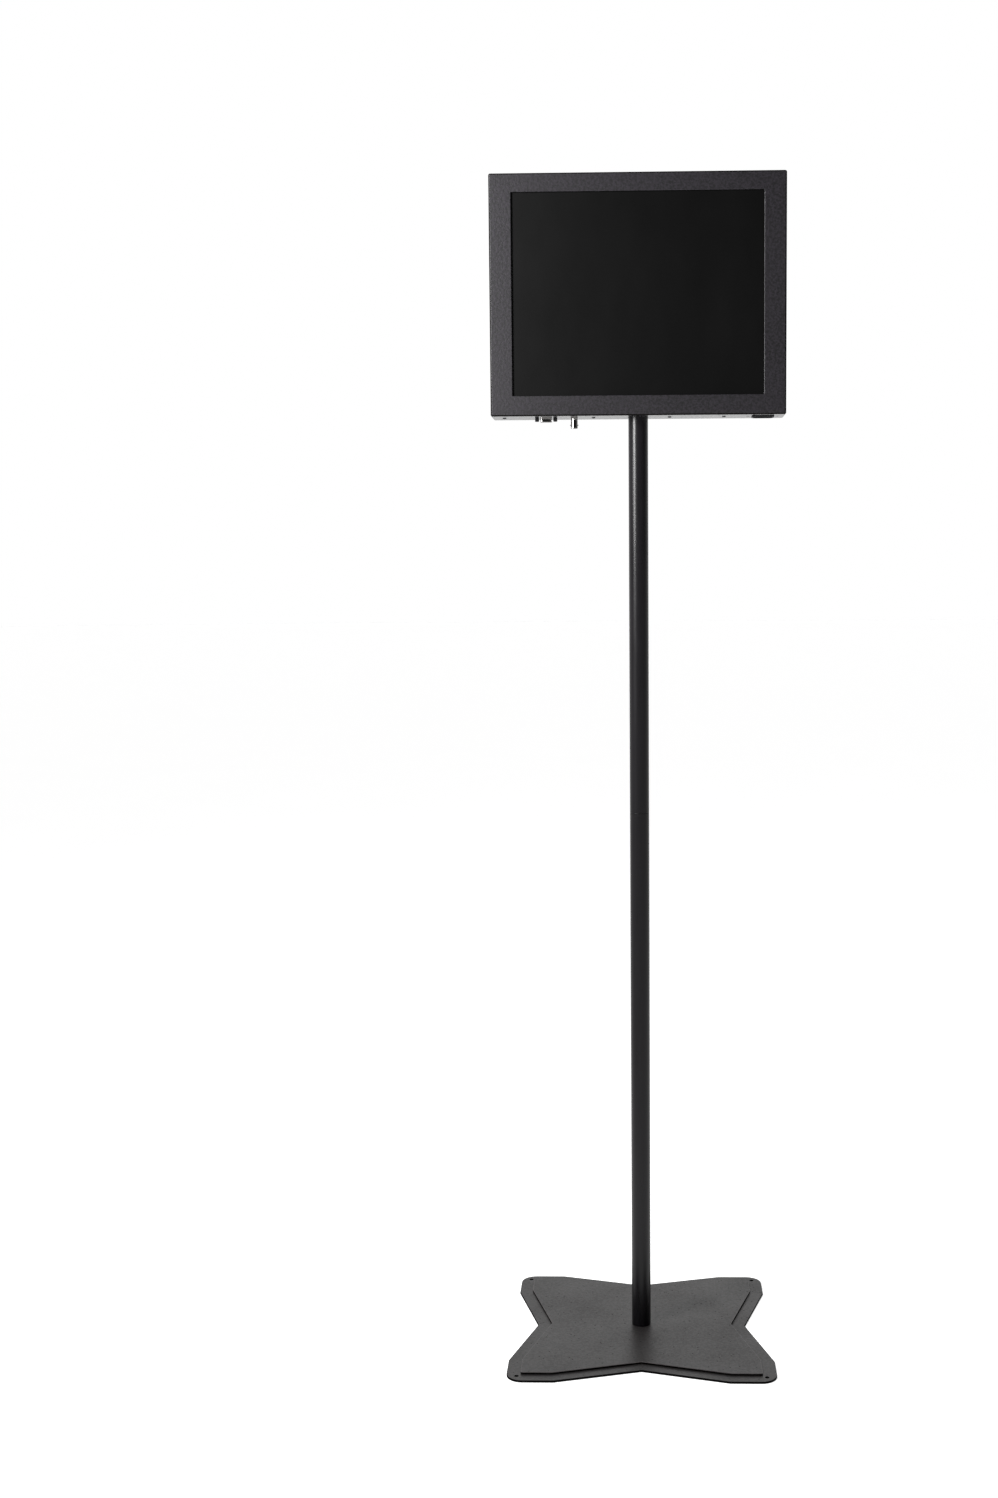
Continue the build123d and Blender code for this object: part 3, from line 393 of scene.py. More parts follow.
class Surface:
    """One node material while it is being wired up."""

    def __init__(self, name, metallic=0.0, specular=0.5):
        self.material = bpy.data.materials.new(name)
        self.material.use_nodes = True
        self.nodes = self.material.node_tree.nodes
        self.links = self.material.node_tree.links
        self.shader = self.nodes["Principled BSDF"]
        self.shader.inputs["Metallic"].default_value = metallic
        self.shader.inputs["Specular IOR Level"].default_value = specular
        self.place = self.nodes.new("ShaderNodeTexCoord").outputs["Object"]
        self.height = None

    def noise(self, size, detail=2.0, stretch=(1, 1, 1)):
        """Noise whose grains are about that many metres across."""
        mapping = self.nodes.new("ShaderNodeMapping")
        mapping.inputs["Scale"].default_value = stretch
        self.links.new(self.place, mapping.inputs["Vector"])
        texture = self.nodes.new("ShaderNodeTexNoise")
        texture.inputs["Scale"].default_value = 1 / size
        texture.inputs["Detail"].default_value = detail
        self.links.new(mapping.outputs["Vector"], texture.inputs["Vector"])
        return texture.outputs["Fac"]

    def specks(self, spacing, size):
        """Small dots scattered at that spacing: 1 inside a dot and 0 outside."""
        texture = self.nodes.new("ShaderNodeTexVoronoi")
        texture.inputs["Scale"].default_value = 1 / spacing
        self.links.new(self.place, texture.inputs["Vector"])
        return self.remap(texture.outputs["Distance"], size, size * 0.6, 0.0, 1.0)

    def remap(self, source, low, high, to_low, to_high):
        """A value moved from one range to another, clamped."""
        node = self.nodes.new("ShaderNodeMapRange")
        for name, value in (("From Min", low), ("From Max", high), ("To Min", to_low), ("To Max", to_high)):
            node.inputs[name].default_value = value
        self.links.new(source, node.inputs["Value"])
        return node.outputs["Result"]

    def math(self, operation, first, second):
        """Two values joined by one operation; the second may be a plain number."""
        node = self.nodes.new("ShaderNodeMath")
        node.operation = operation
        self.links.new(first, node.inputs[0])
        if isinstance(second, (int, float)):
            node.inputs[1].default_value = second
        else:
            self.links.new(second, node.inputs[1])
        return node.outputs["Value"]

    def blend(self, factor, first, second):
        """Colour from the first to the second as the factor goes from 0 to 1."""
        node = self.nodes.new("ShaderNodeMix")
        node.data_type = "RGBA"
        self.links.new(factor, node.inputs["Factor"])
        for index, value in ((6, first), (7, second)):
            if isinstance(value, bpy.types.NodeSocket):
                self.links.new(value, node.inputs[index])
            else:
                node.inputs[index].default_value = (*value, 1.0)
        return node.outputs[2]

    def colour(self, source):
        """Use a colour, linked or plain."""
        if isinstance(source, bpy.types.NodeSocket):
            self.links.new(source, self.shader.inputs["Base Color"])
        else:
            self.shader.inputs["Base Color"].default_value = (*source, 1.0)

    def roughness(self, source):
        """Use a roughness that varies over the surface."""
        self.links.new(source, self.shader.inputs["Roughness"])

    def relief(self, source, depth):
        """Raise and lower the surface by about that many metres."""
        node = self.nodes.new("ShaderNodeBump")
        node.inputs["Distance"].default_value = depth
        self.links.new(source, node.inputs["Height"])
        if self.height:
            self.links.new(self.height, node.inputs["Normal"])
        self.height = node.outputs["Normal"]
        self.links.new(self.height, self.shader.inputs["Normal"])


def tinted(colour, factor):
    """A colour made lighter or darker."""
    return tuple(channel * factor for channel in colour)


def coat_material(name="textured black coat", specular=0.30, relief=1.0, rough=0.42, marks=False):
    """Fine-textured powder coat; the floor plates also have specks of dust and faint scuffs."""
    finish = bpy.context.scene.kiosk_finish
    surface = Surface(name, specular=specular)
    fine = surface.noise(1.6 * MM, 2.0)
    broad = surface.noise(3.6 * MM, 1.5)
    cloudy = surface.noise(90 * MM, 2.0)
    grain = surface.math("ADD", fine, broad)
    dark, light = (finish.plate, finish.plate_light) if marks else (finish.coat, finish.coat_light)
    colour = surface.blend(surface.remap(grain, 0.84, 1.16, 0.0, 1.0), dark, light)
    colour = surface.blend(surface.remap(cloudy, 0.35, 0.7, 0.0, 0.2), colour, light)
    shine = surface.remap(grain, 0.75, 1.25, rough + 0.05, rough - 0.05)
    if marks:
        cluster = surface.noise(8 * MM, 1.0)
        gathered = surface.remap(cluster, 0.44, 0.5, 0.0, 1.0)
        dust = surface.math("MULTIPLY", surface.specks(8 * MM, 0.15), gathered)
        colour = surface.blend(dust, colour, tinted(dark, 0.1))
        scuffs = surface.noise(60 * MM, 6.0, (0.5, 7.0, 1.0))
        scuffs = surface.remap(scuffs, 0.66, 0.74, 0.0, 0.35)
        colour = surface.blend(scuffs, colour, tinted(light, 2.2))
        shine = surface.math("ADD", shine, surface.remap(cloudy, 0.35, 0.7, -0.04, 0.06))
        shine = surface.math("ADD", shine, surface.math("MULTIPLY", dust, 0.4))
    surface.colour(colour)
    surface.roughness(shine)
    surface.relief(fine, 0.07 * MM * relief)
    surface.relief(broad, 0.2 * MM * relief)
    return surface.material


def painted_edge_material(name, factor, rough):
    """Coat on edges, lighter or darker by factor: lighter on a rounded upper edge, partly real wear and
    partly a painted highlight; darker and dull on folds and cut faces, a painted shade.
    """
    finish = bpy.context.scene.kiosk_finish
    # The dark edge coats get almost no specular, so their painted shade stays dark.
    surface = Surface(name, specular=0.4 if factor > 1 else 0.02)
    uneven = surface.noise(9 * MM, 4.0)
    fine = surface.noise(1.5 * MM, 2.0)
    deep, pale = tinted(finish.plate_light, factor * 0.6), tinted(finish.plate_light, factor)
    surface.colour(surface.blend(surface.remap(uneven, 0.3, 0.7, 0, 1), deep, pale))
    surface.roughness(surface.remap(fine, 0.3, 0.7, rough, rough + 0.1))
    surface.relief(fine, 0.02 * MM)
    return surface.material


def paint_edge_shade_and_highlight(piece, rounded):
    """Give a plate's rounded upper edge and its cut faces their own coats: painted shade on the cut faces,
    and on the rounded edge the finish passed in.
    """
    finish = finishes()
    piece.data.materials.append(finish[rounded])
    piece.data.materials.append(finish["cut_edge_painted_shade"])
    # Side faces take the dark painted shade; upward-sloping bevel faces take the rounded edge's finish.
    for face in piece.data.polygons:
        upward = face.normal.z
        face.material_index = 1 if 0.25 < upward < 0.97 else 2 if -0.97 < upward <= 0.25 else 0


def tube_coat_material():
    """The pole's smoother satin coat."""
    finish = bpy.context.scene.kiosk_finish
    surface = Surface("satin black tube coat", specular=0.2)
    fine = surface.noise(1.2 * MM, 2.0)
    long_wise = surface.noise(7 * MM, 3.0, (1, 1, 0.08))
    colour = surface.blend(surface.remap(long_wise, 0.3, 0.7, 0, 1), tinted(finish.coat_light, 0.25),
                           tinted(finish.coat_light, 0.36))
    dust = surface.specks(38 * MM, 0.02)
    surface.colour(surface.blend(dust, colour, tinted(finish.coat_light, 4)))
    surface.roughness(surface.remap(long_wise, 0.3, 0.7, 0.27, 0.33))
    surface.relief(fine, 0.02 * MM)
    return surface.material


def metal_material(name, colour, low, high, grain=0.6 * MM, stretch=(1, 1, 1), relief=0.01 * MM):
    """A bare or plated metal with fine machining marks."""
    surface = Surface(name, metallic=1.0)
    marks = surface.noise(grain, 3.0, stretch)
    patches = surface.noise(14 * MM, 2.0)
    tone = surface.blend(surface.remap(patches, 0.3, 0.7, 0, 1), tinted(colour, 0.86), colour)
    surface.colour(surface.blend(surface.remap(marks, 0.35, 0.65, 0, 0.5), tone, tinted(colour, 0.8)))
    surface.roughness(surface.remap(marks, 0.3, 0.7, low, high))
    surface.relief(marks, relief)
    return surface.material


def moulded_material(name, colour, low, high, grain=0.5 * MM, relief=0.015 * MM):
    """Moulded plastic, nylon or rubber with a fine grain."""
    surface = Surface(name, specular=0.12)
    marks = surface.noise(grain, 2.0)
    patches = surface.noise(12 * MM, 2.0)
    surface.colour(surface.blend(surface.remap(patches, 0.3, 0.7, 0, 1), tinted(colour, 0.85), colour))
    surface.roughness(surface.remap(marks, 0.3, 0.7, low, high))
    surface.relief(marks, relief)
    return surface.material


def glass_material():
    """Etched low-glare glass with the dark screen close behind it."""
    finish = bpy.context.scene.kiosk_finish
    surface = Surface("etched glass over dark screen", specular=0.08)
    wiped = surface.noise(70 * MM, 4.0, (1.0, 1.0, 0.5))
    etch = surface.noise(0.5 * MM, 1.0)
    streaks = surface.remap(wiped, 0.3, 0.7, 0, 1)
    surface.colour(surface.blend(streaks, finish.glass, tinted(finish.glass, 1.5)))
    surface.roughness(surface.remap(wiped, 0.3, 0.7, 0.42, 0.46))
    surface.relief(etch, 0.002 * MM)
    return surface.material


def board_material():
    """Green solder mask with lighter tracks."""
    surface = Surface("solder mask", specular=0.5)
    tracks = surface.noise(2.2 * MM, 1.0, (1, 1, 6))
    pads = surface.specks(5 * MM, 0.18)
    traced = surface.remap(tracks, 0.48, 0.52, 0, 1)
    colour = surface.blend(traced, (0.006, 0.055, 0.02), (0.012, 0.10, 0.035))
    surface.colour(surface.blend(pads, colour, (0.45, 0.42, 0.35)))
    surface.roughness(surface.remap(tracks, 0.4, 0.6, 0.3, 0.42))
    surface.relief(tracks, 0.03 * MM)
    return surface.material


def cell_material():
    """Dark polarised face of the screen cell."""
    surface = Surface("screen cell", specular=0.4)
    rows = surface.noise(0.4 * MM, 1.0)
    surface.colour(surface.blend(rows, (0.004, 0.0045, 0.006), (0.007, 0.008, 0.010)))
    surface.roughness(surface.remap(rows, 0.3, 0.7, 0.2, 0.28))
    return surface.material


def finishes():
    """Every finish by its slot in the record, made once and then found again by name."""
    finish = bpy.context.scene.kiosk_finish
    makers = {
        "powder_coat": coat_material,
        "plate_coat": lambda: coat_material("plate coat with specks", 0.40, 0.35, 0.42, True),
        "smooth_coat": lambda: coat_material("coat on the underside", 0.8, 0.05, 0.22),
        # Painted shade on folds and cut faces; the lighter worn edge is partly wear and partly a painted
        # highlight.
        "fold_painted_shade": lambda: painted_edge_material("painted shade over the folds", 0.3, 0.6),
        "worn_edge_and_highlight": lambda: painted_edge_material("wear and painted highlight along an edge", 3.2, 0.34),
        "cut_edge_painted_shade": lambda: painted_edge_material("painted shade on a cut edge", 0.12, 0.6),
        "tube_coat": tube_coat_material,
        "bright_steel": lambda: metal_material("turned steel", finish.steel, 0.26, 0.4, 0.7 * MM, (1, 1, 6)),
        "zinc_sheet": lambda: metal_material("zinc-plated sheet", (0.5, 0.51, 0.52), 0.34, 0.5, 5 * MM),
        "zinc_screw": lambda: metal_material("zinc-plated screw", (0.52, 0.52, 0.53), 0.25, 0.4),
        "black_screw": lambda: metal_material("black oxide", (0.03, 0.03, 0.032), 0.32, 0.5),
        "nickel_plate": lambda: metal_material("nickel plate", finish.nickel, 0.05, 0.09, 0.4 * MM,
                                               relief=0.002 * MM),
        "brass_part": lambda: metal_material("gold-flashed brass", (0.75, 0.52, 0.2), 0.2, 0.32),
        "raw_aluminium": lambda: metal_material("anodised aluminium", (0.6, 0.61, 0.62), 0.32, 0.48),
        "black_plastic": lambda: moulded_material("black moulding", finish.plastic, 0.38, 0.52),
        "gasket_rubber": lambda: moulded_material("foam rubber", (0.01, 0.01, 0.01), 0.75, 0.9, 0.8 * MM,
                                                  0.08 * MM),
        "white_nylon": lambda: moulded_material("natural nylon", (0.62, 0.60, 0.54), 0.4, 0.55),
        "cable_jacket": lambda: moulded_material("lead jacket", (0.014, 0.014, 0.015), 0.42, 0.55),
        "touch_glass": glass_material,
        "screen_face": cell_material,
        "circuit_board": board_material,
    }
    made = {}
    for slot, make in makers.items():
        label = "finish " + slot
        material = bpy.data.materials.get(label)
        if not material:
            material = make()
            material.name = label
        made[slot] = material
    return made


# ---- floor plates ----

def foot_bolt_cutter():
    """Countersunk hole through both plates for the bolt that holds the pole's foot."""
    bolt_low, bolt_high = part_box("foot_bolt")
    head = (bolt_high.x - bolt_low.x) / 2
    bm = bmesh.new()
    throat = FOOT_BOLT_SHANK + SLIT
    turned(bm, [(head + SLIT, -SLIT), (throat, head - FOOT_BOLT_SHANK), (throat, FOOT_BOLT_DEEP)])
    return new_object("bolt_cutter", bm)


def build_plates():
    """The two star-shaped floor plates, coated over slightly rounded cut edges, with painted shade on their
    edges and a painted highlight with wear on the upper plate's rounded edge.
    """
    sizes = bpy.context.scene.kiosk_plates
    finish = finishes()
    side = PLATE_HIGH.x - PLATE_LOW.x
    step = TOP_PLATE_LOW.x - PLATE_LOW.x
    bm = bmesh.new()
    stack(bm, lambda grow: star(side, sizes, -grow), slab_steps(PLATE_LOW.z, PLATE_HIGH.z, sizes.edge))
    lower = new_object("floor_plate_lower", bm)
    bm = bmesh.new()
    reach = sizes.hole_pitch / 2
    for x in (-reach, reach):
        for y in (-reach, reach):
            stack(bm, lambda grow: circle(sizes.hole_radius + grow, 40),
                  cutter_steps(PLATE_LOW.z, PLATE_HIGH.z, 0.3 * MM, 0.4 * MM), (x, y, 0))
    cut(lower, new_object("hole_cutter", bm), foot_bolt_cutter())
    dress(lower, "base", finish["plate_coat"], ["base_plate"])
    # Every edge of the lower plate gets the dark painted shade.
    paint_edge_shade_and_highlight(lower, "cut_edge_painted_shade")
    bm = bmesh.new()
    stack(bm, lambda grow: star(side, sizes, step - grow),
          slab_steps(TOP_PLATE_LOW.z, TOP_PLATE_HIGH.z, sizes.edge))
    upper = cut(new_object("floor_plate_upper", bm), foot_bolt_cutter())
    dress(upper, "base", finish["plate_coat"], ["base_top_plate"])
    # The upper plate's rounded edge gets wear with a painted highlight; its cut faces get painted shade.
    paint_edge_shade_and_highlight(upper, "worn_edge_and_highlight")


# ---- pole ----

def grub_cutter(node, count):
    """Tapped holes in the tube's back, one at each grub screw of a node."""
    sizes = bpy.context.scene.kiosk_pole
    low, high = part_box(node)
    bottom, top = low.z + sizes.grub_radius, high.z - sizes.grub_radius
    bm = bmesh.new()
    outer = LOWER_TUBE_HIGH.x
    for index in range(count):
        height = bottom + (top - bottom) * index / max(count - 1, 1)
        stack(bm, lambda grow: circle(sizes.grub_radius + grow, 32),
              cutter_steps(outer - 1.8 * sizes.wall, outer + MM, 0.0, 0.0), (0, 0, height), TO_BACK)
    return new_object("grub_cutter", bm)


def build_tube(name, node, low, high, foot, top, body, cutters):
    """A pole section with rounded ends."""
    sizes = bpy.context.scene.kiosk_pole
    outer = LOWER_TUBE_HIGH.x
    inner = outer - sizes.wall
    profile = [(inner, low + 0.3 * MM), (inner + 0.3 * MM, low)]
    profile += [(outer - foot, low), (outer - 0.3 * foot, low + 0.3 * foot), (outer, low + foot)]
    profile += [(outer, high - top), (outer - 0.3 * top, high - 0.3 * top), (outer - top, high)]
    profile += [(inner + 0.3 * MM, high), (inner, high - 0.3 * MM)]
    bm = bmesh.new()
    turned(bm, profile, count=96, looped=True)
    piece = cut(new_object(name, bm), *cutters)
    dress(piece, body, finishes()["tube_coat"], [node])


def build_pole():
    """Both pole sections."""
    sizes = bpy.context.scene.kiosk_pole
    build_tube("pole_lower", "lower_tube", LOWER_TUBE_LOW.z, LOWER_TUBE_HIGH.z, sizes.foot_round,
               sizes.end_round, "lower_section",
               [grub_cutter("foot_grub_screw", 1), grub_cutter("spigot_grub_screws", 2)])
    build_tube("pole_upper", "upper_tube", UPPER_TUBE_LOW.z, UPPER_TUBE_HIGH.z, sizes.end_round,
               sizes.end_round, "upper_section", [grub_cutter("joint_grub_screw", 1)])


# ---- head casing ----

def casing_rings(sizes):
    """The folded casing's section, ring by ring, from the opening round to the opening again."""
    width, height = CASING_HIGH.x - CASING_LOW.x, CASING_HIGH.z - CASING_LOW.z
    deep = CASING_HIGH.y - CASING_LOW.y
    front = Vector((0, CASING_LOW.y, (CASING_LOW.z + CASING_HIGH.z) / 2))
    window = Vector((0, CASING_LOW.y, CASING_LOW.z + sizes.opening_mid))
    sheet, bend = sizes.sheet, sizes.bend
    inner_bend = bend - sheet

    def wall(inset, depth):
        radius = max(bend - inset, 0.15 * MM)
        return at(rectangle(width - 2 * inset, height - 2 * inset, radius), -depth, front, TO_FRONT)

    def opening(grow, depth):
        outline = rectangle(sizes.opening_width + 2 * grow, sizes.opening_height + 2 * grow, MM + grow)
        return at(outline, -depth, window, TO_FRONT)

    edge, soft = 0.22 * MM, sizes.opening_edge
    rings = [opening(soft * (1 - math.sin(angle)), soft * (1 - math.cos(angle)))
             for angle in (math.pi / 2 * step / 5 for step in range(6))]
    rings += [opening(0, sheet - edge), opening(edge, sheet)]
    for step in range(5):
        angle = math.pi / 2 * step / 4
        rings.append(wall(bend - inner_bend * math.sin(angle), bend - inner_bend * math.cos(angle)))
    lip_front, lip_back = deep - 2 * sheet, deep - sheet
    rings += [wall(sheet, lip_front), wall(sheet + sizes.flange, lip_front),
              wall(sheet + sizes.flange, lip_back), wall(sheet, lip_back)]
    rings += [wall(sheet, deep - edge), wall(sheet - edge, deep), wall(edge, deep), wall(0, deep - edge)]
    for step in range(7):
        angle = math.pi / 2 * step / 6
        rings.append(wall(bend * (1 - math.cos(angle)), bend * (1 - math.sin(angle))))
    return rings


def shell_outline(grow):
    """The nine-way socket's D shape, narrower towards the front."""
    sizes = bpy.context.scene.kiosk_ports
    w, d = sizes.shell_width / 2 + grow, sizes.shell_deep / 2 + grow
    corners = [(-w + sizes.shell_taper, -d), (w - sizes.shell_taper, -d), (w, d), (-w, d)]
    return rounded_polygon(corners, max(sizes.shell_round + grow, 0.2 * MM), 8)


def inlet_outline(grow):
    """The mains inlet's nose, with its two cut corners towards the back."""
    sizes = bpy.context.scene.kiosk_ports
    w, d, cut_size = sizes.inlet_width / 2 + grow, sizes.inlet_deep / 2 + grow, sizes.inlet_cut
    corners = [(-w, -d), (w, -d), (w, d - cut_size), (w - cut_size, d),
               (cut_size - w, d), (-w, d - cut_size)]
    return rounded_polygon(corners, 0.8 * MM, 4)


def middle(low, high):
    """Middle of a box, at the casing's underside."""
    return Vector(((low.x + high.x) / 2, (low.y + high.y) / 2, CASING_LOW.z))


SERVICE = middle(SHELL_LOW, SHELL_HIGH)
ANTENNA = middle(ANTENNA_LOW, ANTENNA_HIGH)
INLET = middle(INLET_LOW, INLET_HIGH)


def underside_cutters(sizes):
    """Holes in the casing's underside for the pole and the connectors."""
    ports = bpy.context.scene.kiosk_ports
    low, high, edge = 0.0, sizes.sheet, 0.2 * MM
    gap = 0.2 * MM
    bm = bmesh.new()
    stack(bm, lambda grow: circle(sizes.tube_hole + grow, 72), cutter_steps(low, high, edge, edge),
          (0, 0, CASING_LOW.z))
    stack(bm, lambda grow: shell_outline(grow + gap), cutter_steps(low, high, edge, edge), SERVICE)
    stack(bm, lambda grow: inlet_outline(grow + gap), cutter_steps(low, high, edge, edge), INLET)
    stack(bm, lambda grow: circle(ports.antenna_radius + 0.1 * MM + grow, 40),
          cutter_steps(low, high, edge, edge), ANTENNA)
    for side in (-1, 1):
        stack(bm, lambda grow: circle(1.7 * MM + grow, 32), cutter_steps(low, high, edge, edge),
              SERVICE + Vector((side * ports.jack_pitch / 2, 0, 0)))
        reach = INLET_SCREWS_HIGH.x - INLET.x - INLET_SCREW["head"]
        turned(bm, [(3 * MM + SLIT, -SLIT), (1.55 * MM, high), (1.55 * MM, high + MM)],
               (INLET.x + side * reach, INLET.y, CASING_LOW.z), count=40)
    return new_object("underside_cutter", bm)


def build_casing():
    """The folded steel casing with its screen opening and connector holes."""
    sizes = bpy.context.scene.kiosk_casing
    bm = bmesh.new()
    loft(bm, casing_rings(sizes), looped=True)
    bmesh.ops.remove_doubles(bm, verts=bm.verts[:], dist=0.004 * MM)
    piece = cut(new_object("head_casing", bm), underside_cutters(sizes))
    dress(piece, "head", finishes()["powder_coat"], ["front_casing"])
    piece.data.materials.append(finishes()["smooth_coat"])
    # The front folds get a dark, dull coat: painted shade along the bends.
    piece.data.materials.append(finishes()["fold_painted_shade"])
    low, high = CASING_LOW + Vector((1, 1, 1)) * sizes.bend, CASING_HIGH - Vector((1, 1, 1)) * sizes.bend
    for face in piece.data.polygons:
        middle_x, _, middle_z = face.center
        at_rim = not (low.x < middle_x < high.x and low.z < middle_z < high.z)
        if face.normal.z < -0.98:
            face.material_index = 1
        elif at_rim and -0.98 < face.normal.y < -0.1:
            face.material_index = 2


def build_glass():
    """The front glass with polished edges."""
    bm = bmesh.new()
    width, height = GLASS_HIGH.x - GLASS_LOW.x, GLASS_HIGH.z - GLASS_LOW.z
    thick = GLASS_HIGH.y - GLASS_LOW.y
    origin = (0, GLASS_HIGH.y, (GLASS_LOW.z + GLASS_HIGH.z) / 2)
    stack(bm, lambda grow: rectangle(width + 2 * grow, height + 2 * grow, 1.5 * MM),
          slab_steps(0, thick, 0.4 * MM), origin, TO_FRONT)
    dress(new_object("front_glass", bm), "head", finishes()["touch_glass"], ["touch_glass"])


# ---- rear of the head ----

def slot_outline(width, tall, grow, steps=8):
    """A tall slot with round ends."""
    return rounded_polygon([(-width / 2 - grow, -tall / 2 - grow), (width / 2 + grow, -tall / 2 - grow),
                            (width / 2 + grow, tall / 2 + grow), (-width / 2 - grow, tall / 2 + grow)],
                           (width / 2 + grow) * 0.999, steps)


def build_rear_cover():
    """The rear cover with its four fields of vent slots."""
    sizes = bpy.context.scene.kiosk_casing
    width, height = COVER_HIGH.x - COVER_LOW.x, COVER_HIGH.z - COVER_LOW.z
    middle_z = (COVER_LOW.z + COVER_HIGH.z) / 2
    back = (0, COVER_LOW.y, middle_z)
    bm = bmesh.new()
    stack(bm, lambda grow: rectangle(width + 2 * grow, height + 2 * grow, 1.5 * MM),
          slab_steps(0, sizes.sheet, 0.22 * MM), back, TO_BACK)
    piece = new_object("rear_cover_sheet", bm)
    bm = bmesh.new()
    for x, z in VENT_FIELDS:
        for index in range(sizes.vent_count):
            along = (index - (sizes.vent_count - 1) / 2) * sizes.vent_pitch
            place = (x + along, COVER_LOW.y, CASING_LOW.z + z)
            stack(bm, lambda grow: slot_outline(sizes.vent_width, sizes.vent_length, grow),
                  cutter_steps(0, sizes.sheet, 0, 0.25 * MM), place, TO_BACK)
    for z in ACCESS_HEIGHTS:
        stack(bm, lambda grow: circle(ACCESS_HOLE + grow, 40), cutter_steps(0, sizes.sheet, 0, 0.2 * MM),
              (0, COVER_LOW.y, CASING_LOW.z + z), TO_BACK)
    for x, z in COVER_SCREWS:
        stack(bm, lambda grow: circle(COVER_SCREW_HOLE + grow, 24), cutter_steps(0, sizes.sheet),
              (x, COVER_LOW.y, CASING_LOW.z + z), TO_BACK)
    cut(piece, new_object("vent_cutter", bm))
    dress(piece, "head", finishes()["powder_coat"], ["rear_cover"])


def button_screw(bm, origin, turn, shank, head, tall, key, long):
    """A domed cap screw with a hexagon socket, drawn as one closed skin."""
    count = 48
    dome = [(head, 0.0), (head, 0.22 * tall)]
    for step in range(1, 5):
        angle = math.pi / 2 * step / 5
        dome.append((head * (0.62 + 0.38 * math.cos(angle)), tall * (0.22 + 0.78 * math.sin(angle))))
    rings = [at(circle(shank * 0.7, count), -long, origin, turn),
             at(circle(shank, count), -long + 0.3 * shank, origin, turn)]
    threads = max(int(long / (0.5 * MM)), 1)
    for index in range(1, threads):
        depth = -long + 0.3 * shank + (long - 0.6 * shank) * index / threads
        rings.append(at(circle(shank * (0.9 if index % 2 else 1.0), count), depth, origin, turn))
    rings.append(at(circle(shank, count), 0, origin, turn))
    rings += [at(circle(radius, count), height, origin, turn) for radius, height in dome]
    rings.append(at(circle(key * 1.15, count), tall, origin, turn))
    rings.append(at(hexagon(key, count), tall - 0.12 * key, origin, turn))
    rings.append(at(hexagon(key, count), tall * 0.4, origin, turn))
    rings.append(at(circle(key * 0.25, count), tall * 0.4 - 0.25 * key, origin, turn))
    loft(bm, rings)


def flat_screw(bm, origin, turn, shank, head, key, long):
    """A countersunk screw with a hexagon socket, drawn as one closed skin."""
    count = 48
    rings = [at(circle(shank * 0.7, count), -long, origin, turn),
             at(circle(shank, count), -long + 0.3 * shank, origin, turn),
             at(circle(shank, count), shank - head, origin, turn),
             at(circle(head, count), -0.12 * MM, origin, turn),
             at(circle(head - 0.12 * MM, count), 0, origin, turn),
             at(circle(key * 1.2, count), 0, origin, turn),
             at(hexagon(key, count), -0.15 * key, origin, turn),
             at(hexagon(key, count), -1.1 * key, origin, turn),
             at(circle(key * 0.25, count), -1.35 * key, origin, turn)]
    loft(bm, rings)


def build_rear_fixings():
    """The cover's screws and the two plugs over the clamp screws."""
    finish = finishes()
    bm = bmesh.new()
    for x, z in COVER_SCREWS:
        button_screw(bm, (x, COVER_HIGH.y, CASING_LOW.z + z), TO_BACK, **COVER_SCREW)
    dress(new_object("rear_cover_screws", bm), "head", finish["black_screw"],
          ["cover_screws"])
    bm = bmesh.new()
    for z in ACCESS_HEIGHTS:
        turned(bm, CAP_PROFILE, (0, COVER_HIGH.y, CASING_LOW.z + z), TO_BACK)
    dress(new_object("clamp_access_caps", bm), "head", finish["black_plastic"],
          ["access_plugs"])


# ---- connectors ----

